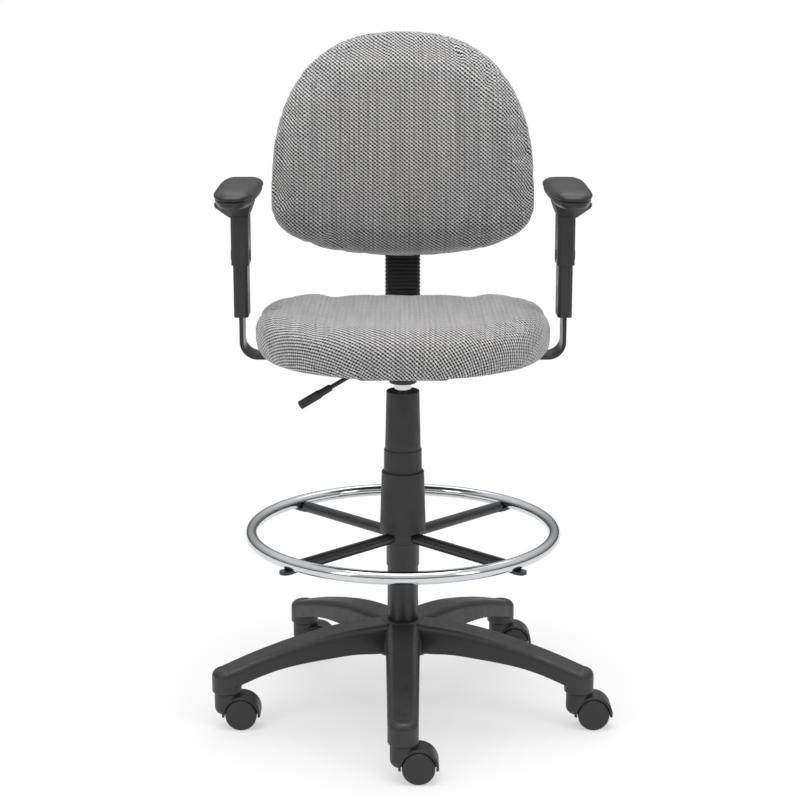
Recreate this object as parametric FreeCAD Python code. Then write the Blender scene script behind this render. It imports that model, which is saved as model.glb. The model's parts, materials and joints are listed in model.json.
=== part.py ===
import FreeCAD, Part
import math
import os

# Drafting chair: five-star base on twin-wheel casters, adjustable foot ring, gas lift with
# telescoping covers, padded seat and back, and height-adjustable arms.  Millimetres.
# The origin is on the floor, on the axis of the column.  +Z is up, the sitter faces -Y, and the
# sitter's left hand is at +X.

V = FreeCAD.Vector
ORIGIN = V(0, 0, 0)
X_AXIS = V(1, 0, 0)
Y_AXIS = V(0, 1, 0)
Z_AXIS = V(0, 0, 1)

# ---------------------------------------------------------------- overall sizes
PLATE_UNDERSIDE = 591.0     # underside of the seat shell; bars and flanges bolt up to it
SEAT_WIDTH = 462.0
SEAT_THICKNESS = 73.0       # from the shell's underside to the top of the cushion
BACK_WIDTH = 429.0
BACK_WIDEST_Z = PLATE_UNDERSIDE + 251.0
BACK_DROP = 121.0           # from the back's widest line down to its lowest point
BACK_RISE = 243.0           # and up to its highest
BAR_THICKNESS = 6.0         # flat steel bar of the back support and the arms

# ---------------------------------------------------------------- clearances
RUNNING_FIT = 0.05      # radial play of a shaft that turns or slides in its bore
SLIDE_PLAY = 0.3        # play between parts that slide over each other
SOFT_GAP = 0.3          # upholstery to what carries it
SEAT_GAP = 0.2          # a loose cover to what it rests on

# ---------------------------------------------------------------- casters
WHEEL_RADIUS = 25.0
WHEEL_WIDTH = 17.5
WHEEL_DOME = 1.0
WHEEL_EDGE = 3.5
WEB_HALF = 4.2          # half thickness of the hood's web between the two wheels
WHEEL_GAP = 0.4
AXLE_RADIUS = 3.5
AXLE_DEPTH = 14.0       # how far the axle reaches into each wheel
CASTER_TRAIL = 23.0     # from the swivel axis back to the axle
HOOD_WALL = 4.0
HOOD_CLEARANCE = 1.5
HOOD_HALF_WIDTH = 20.5
HOOD_LOW_EDGE = 22.0
NECK_RADIUS = 20.0
STEM_RADIUS = 5.5
STEM_FLANGE_RADIUS = 9.0
STEM_FLANGE = 0.6
STEM_IN_ARM = 24.0

# ---------------------------------------------------------------- base star
ARM_COUNT = 5
CASTER_CIRCLE = 295.0   # swivel axes from the column axis
SOLE_HEIGHT = 60.0      # underside of an arm's end, where the caster bears
HEAD_RADIUS = 23.5
HEAD_TOP = 98.0
HEAD_CROWN = 1.0
HEAD_LOWER_EDGE = 1.5
HUB_BOTTOM = 97.0
HUB_TOP = 151.0
HUB_SHOULDER = 23.5         # hub radius beyond the column's
HUB_NECK = 8.0              # the same at the hub's top
ARM_WALL = 4.0
RIB_THICKNESS = 3.0

# ---------------------------------------------------------------- column and gas lift
COLUMN_RADIUS = 25.0
COLUMN_WALL = 2.0
COLUMN_BOTTOM = 92.0
COLUMN_TOP = PLATE_UNDERSIDE - 86.0
COLUMN_FLOOR = 3.0
BUSH_LENGTH = 85.0
BUSH_LIP = 3.0
LIFT_RADIUS = 14.0      # gas cylinder
LIFT_WALL = 1.5
LIFT_BOTTOM = COLUMN_TOP - 265.0
LIFT_TOP = PLATE_UNDERSIDE - 14.0
LIFT_CAP = 5.0
GLAND_LENGTH = 12.0
ROD_RADIUS = 5.0
ROD_NECK_RADIUS = 4.0
PISTON_BOTTOM = COLUMN_TOP - 105.0
PISTON_LENGTH = 15.0
BEARING_RADIUS = 11.0
BEARING_HEIGHT = 6.0
CLIP_RADIUS = 8.0
CLIP_HEIGHT = 1.5
PIN_RADIUS = 3.0
PIN_LENGTH = 20.0

# ---------------------------------------------------------------- telescoping covers
COVER_TOP_Z = COLUMN_TOP + 26.0
COVER_STEP_UPPER = COLUMN_TOP - 70.0    # top edge of the middle cover
COVER_STEP_LOWER = COLUMN_TOP - 106.0   # top edge of the bottom cover
COVER_TOP_HIDDEN = 95.0     # how far the top cover reaches into the middle one
COVER_MIDDLE_HIDDEN = 95.0
# Outer radii, each counted from the piece inside it.
COVER_TOP_RADIUS = COLUMN_RADIUS + 1.25
COVER_TOP_SKIRT_RADIUS = COLUMN_RADIUS + 3.6
COVER_MIDDLE_RADIUS = COVER_TOP_SKIRT_RADIUS + 1.6
COVER_MIDDLE_SKIRT_RADIUS = COVER_TOP_SKIRT_RADIUS + 2.4
COVER_BOTTOM_RADIUS = COVER_MIDDLE_SKIRT_RADIUS + 3.0
COVER_BOTTOM_SKIRT_RADIUS = COVER_BOTTOM_RADIUS + 3.15
COVER_WALL = 2.0
COVER_CAP = 2.0

# ---------------------------------------------------------------- foot ring
RING_RADIUS = 244.0
RING_TUBE_RADIUS = 10.0
RING_TUBE_WALL = 1.5
RING_HEIGHT = 299.0
SPOKE_COUNT = 4
SPOKE_RADIUS = 9.0
SPOKE_WALL = 1.6
SPOKE_HEIGHT = RING_HEIGHT - 8.0
TONGUE_THICKNESS = 5.0
TONGUE_REACH = 18.0         # past the ring's centreline
TONGUE_ROOT = 22.0          # inboard of the ring's centreline
RING_HUB_WALL = 4.4
COLLAR_WALL = 1.65
COLLAR_BOTTOM = RING_HEIGHT - 57.0
RING_SCREW_RADIUS = 2.5
RING_SCREW_HEAD_RADIUS = 5.5
RING_SCREW_HEAD = 2.5

# ---------------------------------------------------------------- seat mechanism
HOUSING_HALF_WIDTH = 70.0
HOUSING_FRONT = -60.0
HOUSING_REAR = 100.0
HOUSING_BOTTOM = PLATE_UNDERSIDE - 32.0
HOUSING_WALL = 2.5
FLANGE_REACH = 14.0
FLANGE_HALF_WIDTH = 60.0
SOCKET_RADIUS = 22.0
SOCKET_BOTTOM = HOUSING_BOTTOM - 16.0
SOCKET_TOP = HOUSING_BOTTOM + 15.0
SOCKET_FLANGE_RADIUS = 30.0
SOCKET_FLANGE = 3.5
MECHANISM_BOLT_X = 45.0
BOLT_RADIUS = 3.0
BOLT_HEAD_RADIUS = 6.0
BOLT_HEAD = 4.0

# ---------------------------------------------------------------- lever
LEVER_Y = -20.0
LEVER_PIVOT_INSIDE = 6.0    # from the housing's inner face to the pivot pin
LEVER_PIVOT_Z = HOUSING_BOTTOM + 12.0
LEVER_ROD_RADIUS = 3.5
LEVER_PIN_RADIUS = 2.0
LEVER_EAR = 2.5             # thickness of the two ears that hold the pin
LEVER_EAR_RADIUS = 5.5
LEVER_EAR_GAP = 1.0         # ear to rod
LEVER_KNEE_X = -30.0        # where the rod levels out and turns towards the column
LEVER_SLOPE = 31.0          # degrees below horizontal
LEVER_TIP_LIFT = 5.2        # the rod's tip stands this far clear of the gas cylinder
LEVER_REACH = 60.5          # pivot to the handle's collar
HANDLE_LENGTH = 58.0
HANDLE_RADIUS = 7.0
HANDLE_SOCKET = 25.0
LEVER_WALL_GAP = 1.6

# ---------------------------------------------------------------- seat
SEAT_MIDDLE_Y = -10.0
SEAT_FRONT_REACH = 225.0
SEAT_REAR_REACH = 212.0
SEAT_FRONT_POWER = 2.15     # superellipse powers of the outline
SEAT_REAR_POWER = 2.5
SEAT_TOP = PLATE_UNDERSIDE + SEAT_THICKNESS
PAN_THICKNESS = 10.0
PAN_INSET = 48.0
SHELL_THICKNESS = 2.5
SHELL_INSET = 40.0

# ---------------------------------------------------------------- back support bar
JBAR_WIDTH = 50.0
JBAR_BOTTOM = PLATE_UNDERSIDE - 24.0
JBAR_FRONT = 50.0
JBAR_REAR_FACE = 264.0
JBAR_ABOVE_KNOB = 80.0
JBAR_INNER_BEND = 40.0
GUIDE_WALL = 4.7
GUIDE_LENGTH = 29.0
KNOB_SCREW_RADIUS = 4.0
DEPTH_KNOB_RADIUS = 20.0
DEPTH_KNOB_HEIGHT = 17.0
DEPTH_KNOB_Y = 88.0
KNOB_LOBES = 6

# ---------------------------------------------------------------- back
BACK_BOTTOM = BACK_WIDEST_Z - BACK_DROP
BACK_TOP = BACK_WIDEST_Z + BACK_RISE
BACK_LOWER_POWER = 2.6
BACK_UPPER_POWER = 2.3
BACK_BOW_RADIUS = 520.0     # plan radius that brings the sides forward
BACK_DEEPEST = 62.0
BACK_THINNEST = 22.0
LUMBAR_Z = BACK_WIDEST_Z - 42.0
LUMBAR_Y = 200.0
LUMBAR_CURVE = 0.00027      # per mm, how the back leans away from the lumbar point
BOARD_THICKNESS = 9.0
BOARD_INSET = 20.0
BACK_SHELL_WALL = 2.5
BRACKET_BOTTOM = LUMBAR_Z - 55.0
BRACKET_HEIGHT = 160.0
BRACKET_WALL = 6.5
BRACKET_DEPTH = 21.0
BRACKET_FLANGE_HALF = 46.0
BRACKET_FLANGE = 4.0
BACK_SCREW_RADIUS = 2.5
BACK_SCREW_HEAD_RADIUS = 5.0
BACK_SCREW_HEAD = 2.5
BACK_SCREW_INSET = 15.0
HEIGHT_KNOB_Z = LUMBAR_Z
HEIGHT_KNOB_RADIUS = 25.0
HEIGHT_KNOB_DEPTH = 20.0
JBAR_TOP = HEIGHT_KNOB_Z + JBAR_ABOVE_KNOB

# ---------------------------------------------------------------- bellows
BELLOWS_WIDTH = 60.0
BELLOWS_DEPTH = 30.0
BELLOWS_BOTTOM = JBAR_BOTTOM + BAR_THICKNESS + JBAR_INNER_BEND + 5.0
BELLOWS_RIBS = 16
BELLOWS_RIB_HEIGHT = 3.0
BELLOWS_PLAY = 0.8

# ---------------------------------------------------------------- arms
ARM_GAP = 18.5              # from the seat's side to the arm bar
ARM_BAR_X = SEAT_WIDTH / 2 + ARM_GAP + BAR_THICKNESS / 2    # middle of the bar's upright part
ARM_BAR_WIDTH = 50.0
ARM_BAR_INNER_END = 80.0
ARM_BAR_INNER_BEND = 22.0
ARM_BAR_TOP = PLATE_UNDERSIDE + 184.0
ARM_BOLTS_X = (100.0, 140.0)
POST_HALF_X = 11.0
POST_HALF_Y = 27.0
POST_BOTTOM = PLATE_UNDERSIDE + 61.0
POST_TOP = ARM_BAR_TOP + 15.0
POST_CHAMFER = 4.0
SLEEVE_HALF_X = 13.5
SLEEVE_HALF_Y = 30.0
SLEEVE_BOTTOM = POST_BOTTOM + 82.0
SLEEVE_CHAMFER = 5.0
TEE_BOTTOM = POST_TOP + 18.0
TEE_HEIGHT = 25.0
TEE_RIM = 4.0               # thickness at its edge
TEE_ROOF = 5.0              # material left above the post's travel
TEE_OUTER = 36.0            # half-sizes of the tee from the post's middle
TEE_INNER = 20.0
TEE_HALF_Y = 58.0
BUTTON_Z = SLEEVE_BOTTOM + 13.5
BUTTON_HALF_WIDTH = 6.0
BUTTON_HEIGHT = 18.0
BUTTON_PROUD = 2.5
BUTTON_STEM_RADIUS = 3.0
BUTTON_STEM = 3.0
BOSS_RADIUS = 6.0           # round boss on the sleeve's inner face, behind the button
BOSS_PROUD = 1.5
SLOT_DEPTH = 5.0
SLOT_HALF_WIDTH = 7.0
SLEEVE_DROP = 35.0
SLEEVE_RISE = 20.0
PAD_FRONT = -130.0
PAD_REAR = 132.0
PAD_FRONT_HALF = 30.5
PAD_REAR_HALF = 36.0
PAD_HEIGHT = 27.0
PAD_OFFSET = 3.0            # the pad sits outward of the post's middle


# ================================================================ helpers
def block(x_low, x_high, y_low, y_high, z_low, z_high):
    return Part.makeBox(x_high - x_low, y_high - y_low, z_high - z_low, V(x_low, y_low, z_low))


def cylinder(radius, z_low, z_high, x=0.0, y=0.0):
    return Part.makeCylinder(radius, z_high - z_low, V(x, y, z_low))


def cylinder_along_y(radius, y_low, y_high, x, z):
    return Part.makeCylinder(radius, y_high - y_low, V(x, y_low, z), Y_AXIS)


def rounded_outline(corners, radii):
    """A closed wire of straight runs whose corners are arcs; a radius of 0 leaves a sharp corner."""
    runs = []
    arcs = []
    count = len(corners)
    for index, corner in enumerate(corners):
        to_last = corners[index - 1].sub(corner)
        to_last.normalize()
        to_next = corners[(index + 1) % count].sub(corner)
        to_next.normalize()
        radius = radii[index]
        half_angle = to_last.getAngle(to_next) / 2
        reach = radius / math.tan(half_angle)
        start = corner + to_last * reach
        end = corner + to_next * reach
        arc = None
        if radius > 0:
            bisector = to_last + to_next
            bisector.normalize()
            middle = corner + bisector * (radius / math.sin(half_angle) - radius)
            arc = Part.Arc(start, middle, end).toShape()
        runs.append((start, end))
        arcs.append(arc)
    edges = []
    for index in range(count):
        if arcs[index]:
            edges.append(arcs[index])
        leave = runs[index][1]
        arrive = runs[(index + 1) % count][0]
        if leave.distanceToPoint(arrive) > 1e-6:
            edges.append(Part.makeLine(leave, arrive))
    return Part.Wire(edges)


def lathe(corners, radii=None):
    """A solid turned about Z from (radius, height) corners."""
    points = [V(radius, 0, height) for radius, height in corners]
    outline = rounded_outline(points, radii or [0] * len(points))
    return Part.Face(outline).revolve(ORIGIN, Z_AXIS, 360)


def prism(outline, direction):
    return Part.Face(outline).extrude(direction)


def rounded_block(x_low, x_high, y_low, y_high, z_low, z_high, radius):
    """A block whose vertical edges are rounded."""
    corners = [V(x_low, y_low, z_low), V(x_high, y_low, z_low),
               V(x_high, y_high, z_low), V(x_low, y_high, z_low)]
    return prism(rounded_outline(corners, [radius] * 4), V(0, 0, z_high - z_low))


def fuse(shapes):
    whole = shapes[0].multiFuse(shapes[1:]) if len(shapes) > 1 else shapes[0]
    return whole.removeSplitter()


def turned(shape, angle, axis=Z_AXIS, centre=ORIGIN):
    copy = shape.copy()
    copy.rotate(centre, axis, angle)
    return copy


def moved(shape, x=0.0, y=0.0, z=0.0):
    copy = shape.copy()
    copy.translate(V(x, y, z))
    return copy


def mirrored(shape):
    """The same piece for the other hand, across the plane X = 0."""
    return shape.mirror(ORIGIN, X_AXIS)


def signed_power(value, power):
    return math.copysign(abs(value) ** power, value)


def save(name, *shapes):
    solids = [solid for shape in shapes for solid in shape.Solids]
    whole = solids[0] if len(solids) == 1 else Part.makeCompound(solids)
    whole.exportStep("parts/" + name + ".step")


# ================================================================ base star
def arm_azimuths():
    return [-90.0 + index * 360.0 / ARM_COUNT for index in range(ARM_COUNT)]


# Along one arm: distance from the column axis, top, bottom and half width.
ARM_STATIONS = (
    (20.0, 149.0, 104.5, 27.0),
    (80.0, 147.0, 104.0, 27.0),
    (130.0, 141.5, 102.5, 26.3),
    (180.0, 131.5, 98.5, 25.5),
    (230.0, 119.0, 89.5, 24.6),
    (262.0, 109.5, 79.5, 24.0),
    (CASTER_CIRCLE - 12.0, 102.5, 72.0, HEAD_RADIUS),
    (CASTER_CIRCLE + 2.0, HEAD_TOP, 67.0, HEAD_RADIUS - 0.5),
)
ARM_TOP_EDGE = 11.0         # rounding along the arm's two upper edges
ARM_LOWER_EDGE = 2.5
POCKET_START = 62.0
POCKET_END = 258.0
RIB_PITCH = 50.0


HUB_RADIUS = COLUMN_RADIUS + HUB_SHOULDER
HUB_NECK_RADIUS = COLUMN_RADIUS + HUB_NECK


def arm_section(distance, top, bottom, half_width, inset=0.0):
    half = half_width - inset
    corners = [V(distance, -half, bottom), V(distance, half, bottom), V(distance, half, top - inset),
               V(distance, -half, top - inset)]
    upper = ARM_TOP_EDGE - inset
    return rounded_outline(corners, [ARM_LOWER_EDGE, ARM_LOWER_EDGE, upper, upper])


def arm_pockets():
    """Cells in the underside of one arm, between ribs."""
    hollow = [arm_section(distance, top, bottom - ARM_WALL, half_width, ARM_WALL)
              for distance, top, bottom, half_width in ARM_STATIONS[:-2]]
    core = Part.makeLoft(hollow, True, False)
    cells = []
    start = POCKET_START
    while start < POCKET_END:
        end = min(start + RIB_PITCH - RIB_THICKNESS, POCKET_END)
        cell = block(start, end, -HUB_RADIUS, HUB_RADIUS, 0, HUB_TOP)
        cells.append(core.common(cell))
        start += RIB_PITCH
    return cells


def arm_sector():
    """One arm with its share of the hub, between the planes halfway to its neighbours."""
    sections = [arm_section(*station) for station in ARM_STATIONS]
    head = lathe([(0, SOLE_HEIGHT), (HEAD_RADIUS, SOLE_HEIGHT), (HEAD_RADIUS, HEAD_TOP - HEAD_CROWN),
                  (0, HEAD_TOP)], [0, HEAD_LOWER_EDGE, ARM_TOP_EDGE + HEAD_CROWN, 0])
    arm = Part.makeLoft(sections, True, False).fuse(moved(head, CASTER_CIRCLE))
    for cell in arm_pockets():
        arm = arm.cut(cell)
    arm = arm.cut(block(0, 2 * CASTER_CIRCLE, -HUB_RADIUS, HUB_RADIUS, 0, SOLE_HEIGHT))
    arm = arm.cut(cylinder(STEM_RADIUS, SOLE_HEIGHT - 1, SOLE_HEIGHT + STEM_IN_ARM, CASTER_CIRCLE))
    hub = lathe([(0, HUB_BOTTOM), (HUB_RADIUS, HUB_BOTTOM), (HUB_RADIUS, HUB_TOP - 28),
                 (HUB_NECK_RADIUS, HUB_TOP), (0, HUB_TOP)], [0, 5.0, 10.0, 6.0, 0])
    reach = 2 * CASTER_CIRCLE
    side = reach * math.tan(math.pi / ARM_COUNT)
    wedge = prism(Part.makePolygon([ORIGIN, V(reach, -side, 0), V(reach, side, 0), ORIGIN]),
                  V(0, 0, 2 * HUB_TOP))
    return arm.fuse(hub).common(wedge).cut(cylinder(COLUMN_RADIUS, 0, 2 * HUB_TOP))


def base_star():
    sector = arm_sector()
    star = None
    for azimuth in arm_azimuths():
        arm = turned(sector, azimuth)
        star = star.fuse(arm) if star else arm
    save("base_star", star.removeSplitter())


# ================================================================ casters
def caster_centres():
    for azimuth in arm_azimuths():
        angle = math.radians(azimuth)
        yield CASTER_CIRCLE * math.cos(angle), CASTER_CIRCLE * math.sin(angle)


HOOD_RADIUS = WHEEL_RADIUS + HOOD_CLEARANCE + HOOD_WALL
HOOD_TOP = SOLE_HEIGHT - STEM_FLANGE - 0.1
STEM_BOTTOM = 38.8
STEM_END_GAP = 0.3
WHEEL_INNER_FACE = WEB_HALF + WHEEL_GAP
BOSS_RADIUS = 8.0


def caster_hood():
    neck = lathe([(0, HOOD_LOW_EDGE), (NECK_RADIUS, HOOD_LOW_EDGE), (NECK_RADIUS, HOOD_TOP), (0, HOOD_TOP)],
                 [0, 12.0, 1.5, 0])
    shroud = cylinder_along_y(HOOD_RADIUS, -HOOD_HALF_WIDTH, HOOD_HALF_WIDTH, CASTER_TRAIL, WHEEL_RADIUS)
    rims = [edge for edge in shroud.Edges if edge.Length > 10 and abs(edge.CenterOfMass.y) > 1]
    shroud = shroud.makeFillet(3.0, rims)
    shroud = shroud.cut(block(-100, 100, -100, 100, -50, HOOD_LOW_EDGE))
    hood = fuse([neck, shroud])
    room = WHEEL_RADIUS + HOOD_CLEARANCE
    for low, high in ((WEB_HALF, NECK_RADIUS * 2), (-NECK_RADIUS * 2, -WEB_HALF)):
        hood = hood.cut(cylinder_along_y(room, low, high, CASTER_TRAIL, WHEEL_RADIUS))
    boss = cylinder_along_y(BOSS_RADIUS, -WEB_HALF, WEB_HALF, CASTER_TRAIL, WHEEL_RADIUS)
    hood = fuse([hood, boss])
    hood = hood.cut(cylinder_along_y(AXLE_RADIUS, -WEB_HALF * 2, WEB_HALF * 2, CASTER_TRAIL, WHEEL_RADIUS))
    return hood.cut(cylinder(STEM_RADIUS + RUNNING_FIT, STEM_BOTTOM - STEM_END_GAP, SOLE_HEIGHT))


def caster_wheel(side):
    """One wheel on its axle; side is -1 for the one at -Y and +1 for the one at +Y."""
    bore = AXLE_RADIUS + RUNNING_FIT
    wheel = lathe([(0, AXLE_DEPTH), (bore, AXLE_DEPTH), (bore, 0), (WHEEL_RADIUS, 0),
                   (WHEEL_RADIUS, WHEEL_WIDTH), (0, WHEEL_WIDTH + WHEEL_DOME)],
                  [0, 0, 0, WHEEL_EDGE, WHEEL_EDGE, 0])
    wheel = turned(wheel, -90 * side, X_AXIS)
    return moved(wheel, CASTER_TRAIL, side * WHEEL_INNER_FACE, WHEEL_RADIUS)


def casters():
    axle_half = WHEEL_INNER_FACE + AXLE_DEPTH - STEM_END_GAP
    axle = cylinder_along_y(AXLE_RADIUS, -axle_half, axle_half, CASTER_TRAIL, WHEEL_RADIUS)
    hood = caster_hood()
    stem = lathe([(0, STEM_BOTTOM), (STEM_RADIUS, STEM_BOTTOM), (STEM_RADIUS, SOLE_HEIGHT - STEM_FLANGE),
                  (STEM_FLANGE_RADIUS, SOLE_HEIGHT - STEM_FLANGE), (STEM_FLANGE_RADIUS, SOLE_HEIGHT),
                  (STEM_RADIUS, SOLE_HEIGHT), (STEM_RADIUS, SOLE_HEIGHT + STEM_IN_ARM),
                  (0, SOLE_HEIGHT + STEM_IN_ARM)])
    stems = []
    for number, (x, y) in enumerate(caster_centres(), start=1):
        stems.append(moved(stem, x, y))
        save("caster_hood_%d" % number, moved(hood, x, y), moved(axle, x, y))
        save("caster_wheel_%da" % number, moved(caster_wheel(-1), x, y))
        save("caster_wheel_%db" % number, moved(caster_wheel(1), x, y))
    save("caster_stems", *stems)


# ================================================================ column and gas lift
COLUMN_BORE = COLUMN_RADIUS - COLUMN_WALL
LIFT_BORE = LIFT_RADIUS - LIFT_WALL


def column():
    floor_top = COLUMN_BOTTOM + COLUMN_FLOOR
    hole = ROD_NECK_RADIUS + RUNNING_FIT
    tube = lathe([(hole, COLUMN_BOTTOM), (COLUMN_RADIUS, COLUMN_BOTTOM), (COLUMN_RADIUS, COLUMN_TOP),
                  (COLUMN_BORE, COLUMN_TOP), (COLUMN_BORE, floor_top), (hole, floor_top)])
    save("column_tube", tube)
    bore = LIFT_RADIUS + RUNNING_FIT
    bush = lathe([(bore, COLUMN_TOP - BUSH_LENGTH), (COLUMN_BORE, COLUMN_TOP - BUSH_LENGTH),
                  (COLUMN_BORE, COLUMN_TOP), (COLUMN_RADIUS, COLUMN_TOP),
                  (COLUMN_RADIUS, COLUMN_TOP + BUSH_LIP), (bore, COLUMN_TOP + BUSH_LIP)])
    save("guide_bush", bush)


def gas_lift():
    rod_bore = ROD_RADIUS + RUNNING_FIT
    pin_bore = PIN_RADIUS + RUNNING_FIT
    gland_top = LIFT_BOTTOM + GLAND_LENGTH
    body = lathe([(rod_bore, LIFT_BOTTOM), (LIFT_RADIUS, LIFT_BOTTOM), (LIFT_RADIUS, LIFT_TOP),
                  (pin_bore, LIFT_TOP), (pin_bore, LIFT_TOP - LIFT_CAP), (LIFT_BORE, LIFT_TOP - LIFT_CAP),
                  (LIFT_BORE, gland_top), (rod_bore, gland_top)], [0, 2.0, 2.0, 0, 0, 0, 0, 0])
    save("gas_cylinder", body)
    shoulder = COLUMN_BOTTOM + COLUMN_FLOOR + BEARING_HEIGHT
    piston_top = PISTON_BOTTOM + PISTON_LENGTH
    head = LIFT_BORE - RUNNING_FIT
    clip_top = COLUMN_BOTTOM - 0.5
    rod_bottom = clip_top - CLIP_HEIGHT - 2.0
    rod = lathe([(0, rod_bottom), (ROD_NECK_RADIUS, rod_bottom), (ROD_NECK_RADIUS, shoulder),
                 (ROD_RADIUS, shoulder), (ROD_RADIUS, PISTON_BOTTOM), (head, PISTON_BOTTOM),
                 (head, piston_top), (0, piston_top)])
    save("piston_rod", rod)
    bearing = lathe([(ROD_NECK_RADIUS, shoulder - BEARING_HEIGHT),
                     (BEARING_RADIUS, shoulder - BEARING_HEIGHT),
                     (BEARING_RADIUS, shoulder), (ROD_NECK_RADIUS, shoulder)], [0, 0.8, 0.8, 0])
    save("thrust_bearing", bearing)
    clip = lathe([(ROD_NECK_RADIUS, clip_top - CLIP_HEIGHT), (CLIP_RADIUS, clip_top - CLIP_HEIGHT),
                  (CLIP_RADIUS, clip_top), (ROD_NECK_RADIUS, clip_top)])
    save("rod_clip", clip)
    pin_top = LEVER_TIP_Z - LEVER_ROD_RADIUS - SLIDE_PLAY
    save("valve_pin", cylinder(PIN_RADIUS, pin_top - PIN_LENGTH, pin_top))


def covers():
    """Three telescoping sleeves, each wider at its foot, that hide the column."""
    skirt = COVER_STEP_UPPER - COVER_TOP_HIDDEN
    bore = COLUMN_RADIUS + SLIDE_PLAY + 0.15
    throat = COLUMN_TOP + BUSH_LIP + 1.5
    top = lathe([(bore, skirt), (COVER_TOP_SKIRT_RADIUS, skirt), (COVER_TOP_SKIRT_RADIUS, COVER_STEP_UPPER),
                 (COVER_TOP_RADIUS, COVER_TOP_Z), (LIFT_RADIUS + SLIDE_PLAY, COVER_TOP_Z),
                 (LIFT_RADIUS + SLIDE_PLAY, COVER_TOP_Z - COVER_CAP),
                 (COVER_TOP_RADIUS - COVER_WALL, COVER_TOP_Z - COVER_CAP),
                 (COVER_TOP_RADIUS - COVER_WALL, throat), (bore, throat)],
                [0, 0.6, 0, 1.5, 0, 0, 0, 0, 0])
    save("cover_top", top)
    foot = COVER_STEP_LOWER - COVER_MIDDLE_HIDDEN
    inner = COVER_TOP_SKIRT_RADIUS + SLIDE_PLAY
    middle = lathe([(inner, foot), (COVER_MIDDLE_SKIRT_RADIUS, foot), (COVER_MIDDLE_RADIUS, COVER_STEP_UPPER),
                    (inner, COVER_STEP_UPPER)], [0, 0.6, 0.6, 0])
    save("cover_middle", middle)
    low = SPOKE_HEIGHT + SPOKE_RADIUS + SEAT_GAP
    mouth = COVER_MIDDLE_SKIRT_RADIUS + SLIDE_PLAY
    bottom = lathe([(COVER_BOTTOM_SKIRT_RADIUS - COVER_WALL, low), (COVER_BOTTOM_SKIRT_RADIUS, low),
                    (COVER_BOTTOM_RADIUS, COVER_STEP_LOWER), (mouth, COVER_STEP_LOWER)], [0, 0.6, 1.2, 0])
    save("cover_bottom", bottom)


# ================================================================ foot ring
def spoke_azimuths():
    return [45.0 + index * 360.0 / SPOKE_COUNT for index in range(SPOKE_COUNT)]


def foot_ring():
    tongue_top = RING_HEIGHT - RING_TUBE_RADIUS
    tongue_low = tongue_top - TONGUE_THICKNESS
    hub_bore = COLUMN_RADIUS + RUNNING_FIT
    hub_radius = hub_bore + RING_HUB_WALL
    hub_low = SPOKE_HEIGHT - SPOKE_RADIUS
    hub_top = SPOKE_HEIGHT + SPOKE_RADIUS
    hub = lathe([(hub_bore, hub_low), (hub_radius, hub_low), (hub_radius, hub_top), (hub_bore, hub_top)],
                [0, 1.2, 1.2, 0])
    save("ring_hub", hub)
    collar_bore = hub_bore
    collar_radius = collar_bore + COLLAR_WALL
    collar = lathe([(collar_bore, COLLAR_BOTTOM), (collar_radius, COLLAR_BOTTOM),
                    (collar_radius, hub_low - SLIDE_PLAY), (collar_bore, hub_low - SLIDE_PLAY)],
                   [0, 0.8, 0.4, 0])
    save("ring_collar", collar)
    tube_end = RING_RADIUS - RING_TUBE_RADIUS - 2.0
    outer = Part.makeCylinder(SPOKE_RADIUS, tube_end, V(0, 0, SPOKE_HEIGHT), X_AXIS)
    inner = Part.makeCylinder(SPOKE_RADIUS - SPOKE_WALL, tube_end + 1, V(0, 0, SPOKE_HEIGHT), X_AXIS)
    tongue = rounded_block(RING_RADIUS - TONGUE_ROOT, RING_RADIUS + TONGUE_REACH, -SPOKE_RADIUS,
                           SPOKE_RADIUS, tongue_low, tongue_top, SPOKE_RADIUS - 1)
    spoke = fuse([outer.cut(inner), tongue])
    spoke = spoke.cut(cylinder(hub_radius, hub_low - 1, hub_top + 1))
    shank_top = tongue_top + RING_TUBE_WALL * 2
    spoke = spoke.cut(cylinder(RING_SCREW_RADIUS, tongue_low - 1, tongue_top + 1, RING_RADIUS))
    screw = fuse([cylinder(RING_SCREW_RADIUS, tongue_low, shank_top, RING_RADIUS),
                  cylinder(RING_SCREW_HEAD_RADIUS, tongue_low - RING_SCREW_HEAD, tongue_low, RING_RADIUS)])
    ring = Part.makeTorus(RING_RADIUS, RING_TUBE_RADIUS)
    ring = ring.cut(Part.makeTorus(RING_RADIUS, RING_TUBE_RADIUS - RING_TUBE_WALL))
    ring = moved(ring, z=RING_HEIGHT)
    spokes = []
    screws = []
    for azimuth in spoke_azimuths():
        hole = cylinder(RING_SCREW_RADIUS, tongue_top - 1, RING_HEIGHT, RING_RADIUS)
        ring = ring.cut(turned(hole, azimuth))
        spokes.append(turned(spoke, azimuth))
        screws.append(turned(screw, azimuth))
    save("foot_ring", ring)
    save("ring_spokes", *spokes)
    save("ring_screws", *screws)


# ================================================================ seat mechanism
FLANGE_BOTTOM = PLATE_UNDERSIDE - HOUSING_WALL
JBAR_TOP_FACE = JBAR_BOTTOM + BAR_THICKNESS
MECHANISM_BOLTS_Y = (HOUSING_FRONT - FLANGE_REACH / 2, HOUSING_REAR + FLANGE_REACH / 2)


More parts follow.
